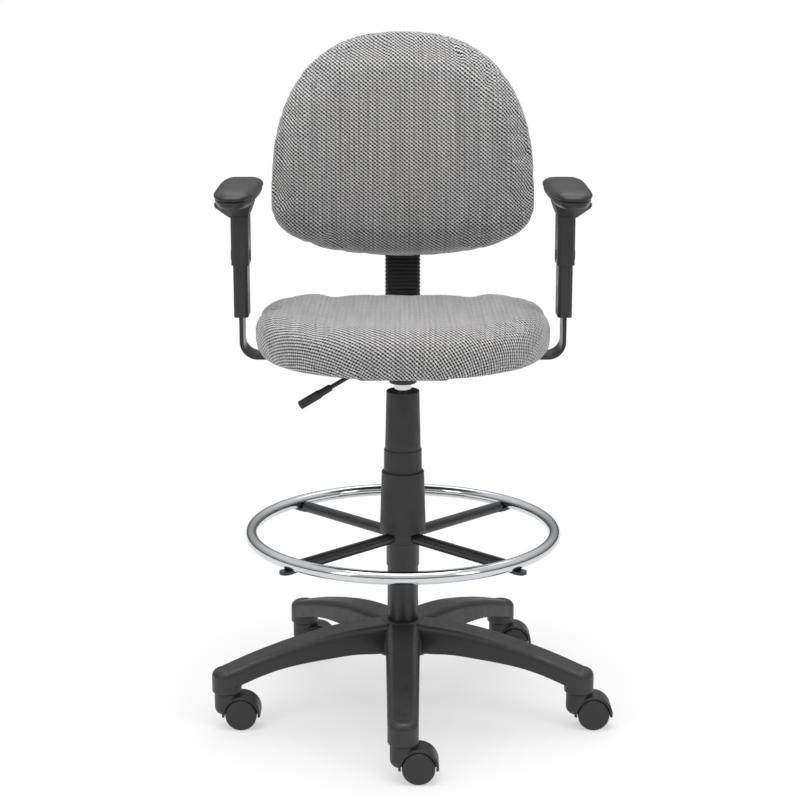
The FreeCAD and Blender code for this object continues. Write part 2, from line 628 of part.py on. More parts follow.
def mechanism():
    floor_top = HOUSING_BOTTOM + HOUSING_WALL
    wall = HOUSING_WALL
    tray = rounded_block(-HOUSING_HALF_WIDTH, HOUSING_HALF_WIDTH, HOUSING_FRONT, HOUSING_REAR,
                         HOUSING_BOTTOM, PLATE_UNDERSIDE, 8.0)
    tray = tray.cut(rounded_block(-HOUSING_HALF_WIDTH + wall, HOUSING_HALF_WIDTH - wall,
                                  HOUSING_FRONT + wall, HOUSING_REAR - wall, floor_top,
                                  PLATE_UNDERSIDE + 1, 8.0 - wall))
    front_flange = rounded_block(-FLANGE_HALF_WIDTH, FLANGE_HALF_WIDTH, HOUSING_FRONT - FLANGE_REACH,
                                 HOUSING_FRONT + wall, FLANGE_BOTTOM, PLATE_UNDERSIDE, 2.0)
    rear_flange = rounded_block(-FLANGE_HALF_WIDTH, FLANGE_HALF_WIDTH, HOUSING_REAR - wall,
                                HOUSING_REAR + FLANGE_REACH, FLANGE_BOTTOM, PLATE_UNDERSIDE, 2.0)
    housing = fuse([tray, front_flange, rear_flange])
    housing = housing.cut(cylinder(SOCKET_RADIUS, 0, floor_top + 1))
    lever_hole = Part.makeCylinder(LEVER_ROD_RADIUS + LEVER_WALL_GAP, LEVER_REACH,
                                   V(LEVER_PIVOT_X - LEVER_REACH, LEVER_Y, LEVER_PIVOT_Z), X_AXIS)
    housing = housing.cut(turned(lever_hole, LEVER_SLOPE, Y_AXIS * -1,
                                 V(LEVER_PIVOT_X, LEVER_Y, LEVER_PIVOT_Z)))
    housing = housing.fuse(lever_ear(-1)).fuse(lever_ear(1))
    window_half = JBAR_WIDTH / 2 + SLIDE_PLAY
    housing = housing.cut(block(-window_half, window_half, HOUSING_REAR - wall - 1, HOUSING_REAR + 1,
                                JBAR_BOTTOM - SLIDE_PLAY, JBAR_TOP_FACE + SLIDE_PLAY))
    housing = housing.cut(cylinder(KNOB_SCREW_RADIUS + RUNNING_FIT, 0, floor_top + 1, y=DEPTH_KNOB_Y))
    for x, y in mechanism_bolts():
        housing = housing.cut(cylinder(BOLT_RADIUS, FLANGE_BOTTOM - 1, PLATE_UNDERSIDE + 1, x, y))
    save("mechanism_housing", housing)
    socket = lathe([(LIFT_RADIUS, SOCKET_BOTTOM), (SOCKET_RADIUS, SOCKET_BOTTOM), (SOCKET_RADIUS, floor_top),
                    (SOCKET_FLANGE_RADIUS, floor_top), (SOCKET_FLANGE_RADIUS, floor_top + SOCKET_FLANGE),
                    (SOCKET_RADIUS - 3, floor_top + SOCKET_FLANGE), (SOCKET_RADIUS - 3, SOCKET_TOP),
                    (LIFT_RADIUS, SOCKET_TOP)], [0, 2.0, 0, 0.8, 0.8, 0, 0.8, 0])
    save("mechanism_socket", socket)
    guide_half = JBAR_WIDTH / 2 + SLIDE_PLAY
    guide_rear = HOUSING_REAR - wall
    guide = block(-guide_half - GUIDE_WALL, guide_half + GUIDE_WALL, guide_rear - GUIDE_LENGTH, guide_rear,
                  floor_top, JBAR_TOP_FACE + SLIDE_PLAY + GUIDE_WALL)
    guide = guide.cut(block(-guide_half, guide_half, guide_rear - GUIDE_LENGTH - 1, guide_rear + 1,
                            JBAR_BOTTOM - SLIDE_PLAY, JBAR_TOP_FACE + SLIDE_PLAY))
    guide = guide.cut(cylinder(KNOB_SCREW_RADIUS + RUNNING_FIT, 0, JBAR_BOTTOM, y=DEPTH_KNOB_Y))
    save("bar_guide", guide)


def mechanism_bolts():
    return [(side * MECHANISM_BOLT_X, y) for side in (-1, 1) for y in MECHANISM_BOLTS_Y]


def arm_bolts():
    return [(side * x, 0.0) for side in (-1, 1) for x in ARM_BOLTS_X]


# ================================================================ lever
LEVER_PIVOT_X = -HOUSING_HALF_WIDTH + HOUSING_WALL + LEVER_PIVOT_INSIDE
LEVER_TIP_Z = LIFT_TOP + LEVER_ROD_RADIUS + LEVER_TIP_LIFT


def rod_through(points, radius):
    """A round rod along straight runs, with a ball at each bend."""
    pieces = []
    for start, end in zip(points, points[1:]):
        run = end.sub(start)
        pieces.append(Part.makeCylinder(radius, run.Length, start, run))
    for bend in points[1:-1]:
        pieces.append(Part.makeSphere(radius, bend))
    return fuse(pieces)


def lever_ear(side):
    """One of the two ears inside the housing that hold the lever's pin."""
    near = LEVER_ROD_RADIUS + LEVER_EAR_GAP
    low, high = sorted((LEVER_Y + side * near, LEVER_Y + side * (near + LEVER_EAR)))
    foot = block(LEVER_PIVOT_X - LEVER_PIVOT_INSIDE - HOUSING_WALL / 2, LEVER_PIVOT_X + LEVER_EAR_RADIUS,
                 low, high, HOUSING_BOTTOM + HOUSING_WALL / 2, LEVER_PIVOT_Z)
    head = cylinder_along_y(LEVER_EAR_RADIUS, low, high, LEVER_PIVOT_X, LEVER_PIVOT_Z)
    bore = cylinder_along_y(LEVER_PIN_RADIUS + RUNNING_FIT, low - 1, high + 1, LEVER_PIVOT_X, LEVER_PIVOT_Z)
    return foot.fuse(head).cut(bore)


def lever():
    slope = math.radians(LEVER_SLOPE)
    outward = V(-math.cos(slope), 0, -math.sin(slope))
    pivot = V(LEVER_PIVOT_X, LEVER_Y, LEVER_PIVOT_Z)
    collar = pivot + outward * LEVER_REACH
    rod_end = collar + outward * HANDLE_SOCKET
    knee = V(LEVER_KNEE_X, LEVER_Y, LEVER_TIP_Z)
    rod = rod_through([V(0, 0, LEVER_TIP_Z), knee, pivot, rod_end], LEVER_ROD_RADIUS)
    pin_half = LEVER_ROD_RADIUS + LEVER_EAR_GAP + LEVER_EAR
    pin = cylinder_along_y(LEVER_PIN_RADIUS, LEVER_Y - pin_half, LEVER_Y + pin_half,
                           LEVER_PIVOT_X, LEVER_PIVOT_Z)
    save("lever_rod", fuse([rod, pin]))
    handle = lathe([(0, 0), (HANDLE_RADIUS - 1.5, 0), (HANDLE_RADIUS - 1.0, HANDLE_LENGTH / 3),
                    (HANDLE_RADIUS, HANDLE_LENGTH / 3 + 2), (HANDLE_RADIUS, HANDLE_LENGTH),
                    (0, HANDLE_LENGTH)], [0, 1.5, 1.0, 1.0, 2.5, 0])
    handle = handle.cut(cylinder(LEVER_ROD_RADIUS, -1, HANDLE_SOCKET))
    handle.Placement = FreeCAD.Placement(collar, FreeCAD.Rotation(Z_AXIS, outward))
    save("lever_handle", handle)


# ================================================================ seat
OUTLINE_STEPS = 28
SEAT_SHELL_TOP = PLATE_UNDERSIDE + SHELL_THICKNESS
PAN_TOP = SEAT_SHELL_TOP + PAN_THICKNESS
CUSHION_BOTTOM = SEAT_SHELL_TOP + SOFT_GAP
# The cushion's side: share of its height, and how far it draws in from the widest line.
SEAT_PROFILE = ((0.0, 24.0), (0.06, 12.0), (0.2, 3.0), (0.42, 0.0), (0.64, 3.0), (0.82, 13.0),
                (0.94, 32.0), (1.0, 62.0))


def seat_outline(inset, z):
    points = []
    for step in range(OUTLINE_STEPS):
        angle = 2 * math.pi * step / OUTLINE_STEPS
        is_front = math.sin(angle) < 0
        power = SEAT_FRONT_POWER if is_front else SEAT_REAR_POWER
        reach = (SEAT_FRONT_REACH if is_front else SEAT_REAR_REACH) - inset
        x = (SEAT_WIDTH / 2 - inset) * signed_power(math.cos(angle), 2 / power)
        y = SEAT_MIDDLE_Y + reach * signed_power(math.sin(angle), 2 / power)
        points.append(V(x, y, z))
    curve = Part.BSplineCurve()
    curve.interpolate(points, PeriodicFlag=True)
    return Part.Wire([curve.toShape()])


def seat():
    height = SEAT_TOP - CUSHION_BOTTOM
    levels = [seat_outline(inset, CUSHION_BOTTOM + share * height) for share, inset in SEAT_PROFILE]
    cushion = Part.makeLoft(levels, True, False)
    pocket = prism(seat_outline(PAN_INSET - SOFT_GAP, CUSHION_BOTTOM - 1), V(0, 0, PAN_TOP + SOFT_GAP
                                                                          - CUSHION_BOTTOM + 1))
    save("seat_cushion", cushion.cut(pocket))
    pan = prism(seat_outline(PAN_INSET, SEAT_SHELL_TOP), V(0, 0, PAN_THICKNESS))
    shell = prism(seat_outline(SHELL_INSET, PLATE_UNDERSIDE), V(0, 0, SHELL_THICKNESS))
    bolts = []
    heads = [(x, y, FLANGE_BOTTOM) for x, y in mechanism_bolts()]
    heads += [(x, y, PLATE_UNDERSIDE - BAR_THICKNESS) for x, y in arm_bolts()]
    for x, y, seat_of_head in heads:
        shank = cylinder(BOLT_RADIUS, seat_of_head, PAN_TOP - 1.5, x, y)
        pan = pan.cut(shank)
        shell = shell.cut(shank)
        head = cylinder(BOLT_HEAD_RADIUS, seat_of_head - BOLT_HEAD, seat_of_head, x, y)
        bolts.append(fuse([shank, head]))
    save("seat_pan", pan)
    save("seat_shell", shell)
    save("seat_bolts", *bolts)


# ================================================================ knobs
def lobed_knob(radius, height):
    """A hand knob with finger hollows round its rim; its base is at z = 0."""
    knob = lathe([(0, 0), (radius * 0.6, 0), (radius, height * 0.3), (radius, height), (0, height)],
                 [0, 1.5, 2.0, 3.0, 0])
    for lobe in range(KNOB_LOBES):
        hollow = cylinder(radius * 0.3, -1, height + 1, radius * 1.18)
        knob = knob.cut(turned(hollow, lobe * 360.0 / KNOB_LOBES))
    return knob


# ================================================================ back support bar
def back_support():
    inner = JBAR_INNER_BEND
    outer = inner + BAR_THICKNESS
    half = JBAR_WIDTH / 2
    outline = [V(-half, JBAR_FRONT, JBAR_BOTTOM), V(-half, JBAR_REAR_FACE, JBAR_BOTTOM),
               V(-half, JBAR_REAR_FACE, JBAR_TOP), V(-half, JBAR_REAR_FACE - BAR_THICKNESS, JBAR_TOP),
               V(-half, JBAR_REAR_FACE - BAR_THICKNESS, JBAR_TOP_FACE), V(-half, JBAR_FRONT, JBAR_TOP_FACE)]
    bar = prism(rounded_outline(outline, [0, outer, 0, 0, inner, 0]), V(JBAR_WIDTH, 0, 0))
    front_edges = [edge for edge in bar.Edges
                   if abs(edge.Length - BAR_THICKNESS) < 0.01 and edge.CenterOfMass.y < JBAR_FRONT + 1]
    save("jbar", bar.makeFillet(8.0, front_edges))
    knob = lobed_knob(DEPTH_KNOB_RADIUS, DEPTH_KNOB_HEIGHT)
    knob_top = HOUSING_BOTTOM - 1.0
    knob = moved(turned(knob, 180, X_AXIS), y=DEPTH_KNOB_Y, z=knob_top)
    screw = cylinder(KNOB_SCREW_RADIUS, knob_top - 2, JBAR_BOTTOM - SLIDE_PLAY, y=DEPTH_KNOB_Y)
    save("depth_knob", fuse([knob, screw]))


# ================================================================ bellows
def bellows():
    """A ribbed rubber boot round the upright bar."""
    middle_y = JBAR_REAR_FACE - BAR_THICKNESS / 2
    top = BRACKET_BOTTOM - SOFT_GAP
    step = (top - BELLOWS_BOTTOM) / (2 * BELLOWS_RIBS)
    sections = []
    for index in range(2 * BELLOWS_RIBS + 1):
        inset = 0.0 if index % 2 else BELLOWS_RIB_HEIGHT
        half_x = BELLOWS_WIDTH / 2 - inset
        half_y = BELLOWS_DEPTH / 2 - inset
        z = BELLOWS_BOTTOM + index * step
        corners = [V(-half_x, middle_y - half_y, z), V(half_x, middle_y - half_y, z),
                   V(half_x, middle_y + half_y, z), V(-half_x, middle_y + half_y, z)]
        sections.append(rounded_outline(corners, [8.0 - inset] * 4))
    boot = Part.makeLoft(sections, True, True)
    half_x = JBAR_WIDTH / 2 + BELLOWS_PLAY
    half_y = BAR_THICKNESS / 2 + BELLOWS_PLAY
    boot = boot.cut(block(-half_x, half_x, middle_y - half_y, middle_y + half_y, BELLOWS_BOTTOM - 1, top + 1))
    save("bellows", boot)


# ================================================================ back
BACK_LEVELS = 13
SLAB_LEVELS = 6
BRACKET_FRONT = JBAR_REAR_FACE + SLIDE_PLAY + BRACKET_WALL - BRACKET_DEPTH


def back_half_width(z):
    """Half the back's width at height z: two superellipse halves that meet at the widest line."""
    if z < BACK_WIDEST_Z:
        share = (BACK_WIDEST_Z - z) / (BACK_WIDEST_Z - BACK_BOTTOM)
        power = BACK_LOWER_POWER
    else:
        share = (z - BACK_WIDEST_Z) / (BACK_TOP - BACK_WIDEST_Z)
        power = BACK_UPPER_POWER
    return BACK_WIDTH / 2 * (1 - share ** power) ** (1 / power)


def back_levels():
    """Heights that crowd towards the rounded top and bottom."""
    middle = (BACK_BOTTOM + BACK_TOP) / 2
    for index in range(BACK_LEVELS):
        turn = math.pi * (index + 0.45) / (BACK_LEVELS - 0.1)
        yield middle - (BACK_TOP - middle) * math.cos(turn)


def spine_y(z):
    return LUMBAR_Y + LUMBAR_CURVE * (z - LUMBAR_Z) ** 2


def cushion_depth(z):
    middle = (BACK_BOTTOM + BACK_TOP) / 2
    share = (z - middle) / (BACK_TOP - middle)
    return BACK_THINNEST + (BACK_DEEPEST - BACK_THINNEST) * math.sqrt(max(0.0, 1 - share ** 2))


def bowed(x, y, z):
    """A point of the back, brought forward as it nears the sides."""
    return V(x, y - x * x / (2 * BACK_BOW_RADIUS), z)


def pillow_section(half_width, front, rear, z):
    """Front and rear arcs joined by round sides."""
    shoulder = half_width - (rear - front) / 2 * 0.9
    middle = (front + rear) / 2
    edges = [Part.Arc(bowed(-shoulder, front, z), V(0, front, z), bowed(shoulder, front, z)),
             Part.Arc(bowed(shoulder, front, z), bowed(half_width, middle, z), bowed(shoulder, rear, z)),
             Part.Arc(bowed(shoulder, rear, z), V(0, rear, z), bowed(-shoulder, rear, z)),
             Part.Arc(bowed(-shoulder, rear, z), bowed(-half_width, middle, z), bowed(-shoulder, front, z))]
    return Part.Wire([edge.toShape() for edge in edges])


def plate_section(half_width, front, rear, z):
    """A bowed plate with square sides."""
    edges = [Part.Arc(bowed(-half_width, front, z), V(0, front, z), bowed(half_width, front, z)).toShape(),
             Part.makeLine(bowed(half_width, front, z), bowed(half_width, rear, z)),
             Part.Arc(bowed(half_width, rear, z), V(0, rear, z), bowed(-half_width, rear, z)).toShape(),
             Part.makeLine(bowed(-half_width, rear, z), bowed(-half_width, front, z))]
    return Part.Wire(edges)


def cushion_rear(z):
    return spine_y(z) + BACK_DEEPEST / 2


def bowed_slab(front_gap, thickness):
    """A slab wider and taller than the back, parallel to the cushion's rear face."""
    margin = BACK_DEEPEST
    levels = [BACK_BOTTOM - margin + index * (BACK_TOP - BACK_BOTTOM + 2 * margin) / (SLAB_LEVELS - 1)
              for index in range(SLAB_LEVELS)]
    sections = []
    for z in levels:
        front = cushion_rear(z) + front_gap
        sections.append(plate_section(BACK_WIDTH / 2 + margin, front, front + thickness, z))
    return Part.makeLoft(sections, True, False)


def back_outline(inset):
    """A prism along Y on the back's outline, drawn in by the inset."""
    points = []
    for step in range(OUTLINE_STEPS):
        angle = 2 * math.pi * step / OUTLINE_STEPS
        is_low = math.sin(angle) < 0
        power = BACK_LOWER_POWER if is_low else BACK_UPPER_POWER
        reach = (BACK_WIDEST_Z - BACK_BOTTOM if is_low else BACK_TOP - BACK_WIDEST_Z) - inset
        x = (BACK_WIDTH / 2 - inset) * signed_power(math.cos(angle), 2 / power)
        z = BACK_WIDEST_Z + reach * signed_power(math.sin(angle), 2 / power)
        points.append(V(x, 0, z))
    curve = Part.BSplineCurve()
    curve.interpolate(points, PeriodicFlag=True)
    return prism(Part.Wire([curve.toShape()]), V(0, 2 * LUMBAR_Y, 0))


def plate(inset, front_gap, thickness):
    """A bowed plate behind the cushion, inset from its outline."""
    return bowed_slab(front_gap, thickness).common(back_outline(inset))


def backrest():
    sections = []
    for z in back_levels():
        rear = cushion_rear(z)
        half_width = back_half_width(z)
        sections.append(pillow_section(half_width, rear - cushion_depth(z), rear, z))
    save("back_cushion", Part.makeLoft(sections, True, False))

    board = plate(BOARD_INSET, SOFT_GAP, BOARD_THICKNESS)
    shell_inset = BOARD_INSET - BACK_SHELL_WALL - SOFT_GAP
    shell = plate(shell_inset, SOFT_GAP, BOARD_THICKNESS + BACK_SHELL_WALL + SOFT_GAP)
    pocket = plate(BOARD_INSET - SOFT_GAP, SOFT_GAP - BOARD_THICKNESS, BOARD_THICKNESS * 2 + SOFT_GAP)
    bracket_top = BRACKET_BOTTOM + BRACKET_HEIGHT
    seat_face = block(-BRACKET_FLANGE_HALF, BRACKET_FLANGE_HALF, LUMBAR_Y + BACK_DEEPEST / 2, BRACKET_FRONT,
                      BRACKET_BOTTOM, bracket_top)
    shell = shell.cut(pocket).fuse(seat_face.cut(pocket)).removeSplitter()

    flange = rounded_plate_y(BRACKET_FLANGE_HALF, BRACKET_FRONT, BRACKET_FRONT + BRACKET_FLANGE,
                             BRACKET_BOTTOM, bracket_top, 10.0)
    half_body = JBAR_WIDTH / 2 + SLIDE_PLAY + BRACKET_WALL
    body = rounded_block(-half_body, half_body, BRACKET_FRONT, BRACKET_FRONT + BRACKET_DEPTH,
                         BRACKET_BOTTOM, bracket_top, 5.0)
    cavity_half = JBAR_WIDTH / 2 + SLIDE_PLAY
    cavity = block(-cavity_half, cavity_half, JBAR_REAR_FACE - BAR_THICKNESS - SLIDE_PLAY,
                   JBAR_REAR_FACE + SLIDE_PLAY, BRACKET_BOTTOM - 1, bracket_top + 1)
    bracket = fuse([flange, body]).cut(cavity)
    bracket = bracket.cut(cylinder_along_y(KNOB_SCREW_RADIUS + RUNNING_FIT, JBAR_REAR_FACE,
                                           BRACKET_FRONT + BRACKET_DEPTH + 1, 0, HEIGHT_KNOB_Z))
    screw_x = (half_body + BRACKET_FLANGE_HALF) / 2
    screws = []
    for x in (-screw_x, screw_x):
        for z in (BRACKET_BOTTOM + BACK_SCREW_INSET, bracket_top - BACK_SCREW_INSET):
            head_seat = BRACKET_FRONT + BRACKET_FLANGE
            tip = cushion_rear(z) + SOFT_GAP + 1.5
            shank = cylinder_along_y(BACK_SCREW_RADIUS, tip, head_seat, x, z)
            head = cylinder_along_y(BACK_SCREW_HEAD_RADIUS, head_seat, head_seat + BACK_SCREW_HEAD, x, z)
            board = board.cut(shank)
            shell = shell.cut(shank)
            bracket = bracket.cut(shank)
            screws.append(fuse([shank, head]))
    save("back_board", board)
    save("back_shell", shell)
    save("back_bracket", bracket)
    save("back_screws", *screws)

    knob = lobed_knob(HEIGHT_KNOB_RADIUS, HEIGHT_KNOB_DEPTH)
    knob_face = BRACKET_FRONT + BRACKET_DEPTH + 1.0
    knob = moved(turned(knob, -90, X_AXIS), y=knob_face, z=HEIGHT_KNOB_Z)
    screw = cylinder_along_y(KNOB_SCREW_RADIUS, JBAR_REAR_FACE + SLIDE_PLAY, knob_face + 2, 0, HEIGHT_KNOB_Z)
    save("height_knob", fuse([knob, screw]))


def rounded_plate_y(half_x, y_low, y_high, z_low, z_high, radius):
    """An upright plate whose corners are rounded, seen along Y."""
    corners = [V(-half_x, y_low, z_low), V(half_x, y_low, z_low), V(half_x, y_low, z_high),
               V(-half_x, y_low, z_high)]
    return prism(rounded_outline(corners, [radius] * 4), V(0, y_high - y_low, 0))


# ================================================================ arms, drawn for the sitter's left
TEE_TOP = TEE_BOTTOM + TEE_HEIGHT


def chamfered_block(half_x, half_y, z_low, z_high, chamfer):
    """An upright block about the arm post's axis with bevelled vertical edges."""
    low = half_x - chamfer
    side = half_y - chamfer
    corners = [V(low, -half_y, z_low), V(half_x, -side, z_low), V(half_x, side, z_low),
               V(low, half_y, z_low), V(-low, half_y, z_low), V(-half_x, side, z_low), V(-half_x, -side, z_low),
               V(-low, -half_y, z_low)]
    return moved(prism(rounded_outline(corners, [1.0] * 8), V(0, 0, z_high - z_low)), ARM_BAR_X)


def arm_bar():
    inner = ARM_BAR_INNER_BEND
    outer = inner + BAR_THICKNESS
    bottom = PLATE_UNDERSIDE - BAR_THICKNESS
    outer_x = ARM_BAR_X + BAR_THICKNESS / 2
    inner_x = ARM_BAR_X - BAR_THICKNESS / 2
    front = -ARM_BAR_WIDTH / 2
    outline = [V(ARM_BAR_INNER_END, front, bottom), V(outer_x, front, bottom),
               V(outer_x, front, ARM_BAR_TOP),
               V(inner_x, front, ARM_BAR_TOP), V(inner_x, front, PLATE_UNDERSIDE),
               V(ARM_BAR_INNER_END, front, PLATE_UNDERSIDE)]
    bar = prism(rounded_outline(outline, [0, outer, 0, 0, inner, 0]), V(0, ARM_BAR_WIDTH, 0))
    end_edges = [edge for edge in bar.Edges
                 if abs(edge.Length - BAR_THICKNESS) < 0.01 and edge.CenterOfMass.x < ARM_BAR_INNER_END + 1]
    bar = bar.makeFillet(10.0, end_edges)
    for x in ARM_BOLTS_X:
        bar = bar.cut(cylinder(BOLT_RADIUS, bottom - 1, PLATE_UNDERSIDE + 1, x))
    return bar


def arm_post():
    post = chamfered_block(POST_HALF_X, POST_HALF_Y, POST_BOTTOM, POST_TOP, POST_CHAMFER)
    half_bar = BAR_THICKNESS / 2
    post = post.cut(block(ARM_BAR_X - half_bar, ARM_BAR_X + half_bar, -ARM_BAR_WIDTH / 2, ARM_BAR_WIDTH / 2,
                          POST_BOTTOM - 1, ARM_BAR_TOP))
    face = ARM_BAR_X + POST_HALF_X
    slot_low = BUTTON_Z - SLEEVE_DROP - BUTTON_HEIGHT / 2 - SLIDE_PLAY
    slot_high = BUTTON_Z + SLEEVE_RISE + BUTTON_HEIGHT / 2 + SLIDE_PLAY
    slot = block(face - SLOT_DEPTH, face + 1, -SLOT_HALF_WIDTH, SLOT_HALF_WIDTH, slot_low, slot_high)
    return post.cut(slot)


def button_outline(x, half_width, height):
    """An upright oval, seen along X."""
    corners = [V(x, -half_width, BUTTON_Z - height / 2), V(x, half_width, BUTTON_Z - height / 2),
               V(x, half_width, BUTTON_Z + height / 2), V(x, -half_width, BUTTON_Z + height / 2)]
    return rounded_outline(corners, [half_width - 0.2] * 4)


def arm_tee():
    """The head of the sleeve, under the pad: thin at its rim and full depth over the sleeve."""
    rim = TEE_TOP - TEE_RIM
    across = [V(-TEE_INNER, 0, TEE_TOP), V(-TEE_INNER, 0, rim), V(-SLEEVE_HALF_X, 0, TEE_BOTTOM),
              V(SLEEVE_HALF_X, 0, TEE_BOTTOM), V(TEE_OUTER, 0, rim), V(TEE_OUTER, 0, TEE_TOP)]
    across = prism(rounded_outline(across, [0, 2.0, 6.0, 6.0, 2.0, 0]), V(0, 2 * TEE_HALF_Y, 0))
    along = [V(-TEE_INNER, -TEE_HALF_Y, TEE_TOP), V(-TEE_INNER, -TEE_HALF_Y, rim),
             V(-TEE_INNER, -SLEEVE_HALF_Y, TEE_BOTTOM), V(-TEE_INNER, SLEEVE_HALF_Y, TEE_BOTTOM),
             V(-TEE_INNER, TEE_HALF_Y, rim), V(-TEE_INNER, TEE_HALF_Y, TEE_TOP)]
    along = prism(rounded_outline(along, [0, 2.0, 10.0, 10.0, 2.0, 0]), V(TEE_INNER + TEE_OUTER, 0, 0))
    plan = rounded_block(-TEE_INNER, TEE_OUTER, -TEE_HALF_Y, TEE_HALF_Y, TEE_BOTTOM, TEE_TOP, 12.0)
    return moved(moved(across, y=-TEE_HALF_Y).common(along).common(plan), ARM_BAR_X)


def arm_sleeve():
    sleeve = chamfered_block(SLEEVE_HALF_X, SLEEVE_HALF_Y, SLEEVE_BOTTOM, TEE_BOTTOM + 1, SLEEVE_CHAMFER)
    tee = arm_tee()
    face = ARM_BAR_X + SLEEVE_HALF_X
    boss_face = V(ARM_BAR_X - SLEEVE_HALF_X - BOSS_PROUD, 0, BUTTON_Z)
    boss = Part.makeCylinder(BOSS_RADIUS, BOSS_PROUD + 1, boss_face, X_AXIS)
    whole = fuse([sleeve, tee, boss])
    inner_x = POST_HALF_X + SLIDE_PLAY
    inner_y = POST_HALF_Y + SLIDE_PLAY
    whole = whole.cut(chamfered_block(inner_x, inner_y, SLEEVE_BOTTOM - 1, TEE_TOP - TEE_ROOF, POST_CHAMFER))
    window = button_outline(face - SLEEVE_HALF_X + POST_HALF_X, BUTTON_HALF_WIDTH + SLIDE_PLAY,
                            BUTTON_HEIGHT + 2 * SLIDE_PLAY)
    return whole.cut(prism(window, V(SLEEVE_HALF_X, 0, 0)))


def arm_button():
    face = ARM_BAR_X + SLEEVE_HALF_X
    inner = ARM_BAR_X + POST_HALF_X + SLIDE_PLAY
    outline = button_outline(inner, BUTTON_HALF_WIDTH, BUTTON_HEIGHT)
    cap = prism(outline, V(face + BUTTON_PROUD - inner, 0, 0))
    rim = [edge for edge in cap.Edges if abs(edge.CenterOfMass.x - face - BUTTON_PROUD) < 0.01]
    cap = cap.makeFillet(1.2, rim)
    stem_start = V(inner - BUTTON_STEM, 0, BUTTON_Z)
    stem = Part.makeCylinder(BUTTON_STEM_RADIUS, BUTTON_STEM + 1, stem_start, X_AXIS)
    return fuse([cap, stem])


# The pad along Y: share of its length, share of its width there and share of its height.
PAD_STATIONS = ((0.0, 0.5, 0.5), (0.03, 0.8, 0.8), (0.1, 1.0, 0.98), (0.45, 1.0, 0.95), (0.88, 1.0, 0.92),
                (0.965, 0.82, 0.82), (1.0, 0.55, 0.55))


def arm_pad():
    sections = []
    middle = ARM_BAR_X + PAD_OFFSET
    for along, width_share, height_share in PAD_STATIONS:
        y = PAD_FRONT + along * (PAD_REAR - PAD_FRONT)
        half = width_share * (PAD_FRONT_HALF + along * (PAD_REAR_HALF - PAD_FRONT_HALF))
        top = TEE_TOP + PAD_HEIGHT * height_share
        radius = min(half, top - TEE_TOP) * 0.45
        corners = [V(middle - half, y, TEE_TOP), V(middle + half, y, TEE_TOP), V(middle + half, y, top),
                   V(middle - half, y, top)]
        sections.append(rounded_outline(corners, [radius * 0.5, radius * 0.5, radius, radius]))
    return Part.makeLoft(sections, True, False)


def arms():
    for name, piece in (("arm_bar", arm_bar()), ("arm_post", arm_post()), ("arm_sleeve", arm_sleeve()),
                        ("arm_button", arm_button()), ("arm_pad", arm_pad())):
        save(name + "_left", piece)
        save(name + "_right", mirrored(piece))


os.makedirs("parts", exist_ok=True)
base_star()
casters()
column()
gas_lift()
covers()
foot_ring()
mechanism()
lever()
seat()
back_support()
bellows()
backrest()
arms()
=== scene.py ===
import json
import math

import bmesh
import bpy
import numpy as np
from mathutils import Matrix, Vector

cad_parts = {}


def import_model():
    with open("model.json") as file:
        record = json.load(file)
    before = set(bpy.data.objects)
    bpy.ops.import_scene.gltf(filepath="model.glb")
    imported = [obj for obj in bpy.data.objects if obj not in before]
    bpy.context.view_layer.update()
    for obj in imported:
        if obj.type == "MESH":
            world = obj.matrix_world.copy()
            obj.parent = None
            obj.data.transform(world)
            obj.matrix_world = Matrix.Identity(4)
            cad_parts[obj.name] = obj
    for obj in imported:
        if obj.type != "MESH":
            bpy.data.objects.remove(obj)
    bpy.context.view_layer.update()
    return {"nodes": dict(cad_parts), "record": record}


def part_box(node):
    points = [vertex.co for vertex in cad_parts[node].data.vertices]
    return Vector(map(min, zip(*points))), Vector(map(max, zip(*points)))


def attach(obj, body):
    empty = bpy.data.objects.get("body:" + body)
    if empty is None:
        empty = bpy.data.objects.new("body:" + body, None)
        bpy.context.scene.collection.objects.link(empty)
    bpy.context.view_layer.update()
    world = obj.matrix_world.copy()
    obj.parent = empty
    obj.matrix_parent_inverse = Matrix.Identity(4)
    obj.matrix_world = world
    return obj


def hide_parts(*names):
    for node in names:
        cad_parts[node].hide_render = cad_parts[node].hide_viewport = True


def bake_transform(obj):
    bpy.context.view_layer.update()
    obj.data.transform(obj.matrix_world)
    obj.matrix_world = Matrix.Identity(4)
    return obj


# Drafting chair.  Metres; the floor is z = 0, the sitter faces -Y and their left hand is at +X.
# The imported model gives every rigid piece.  The soft pieces are made here in the space that their
# plain solids hold: seat, back, arm pads and the bellows round the back's bar.

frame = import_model()
MM = 0.001
scene = bpy.context.scene


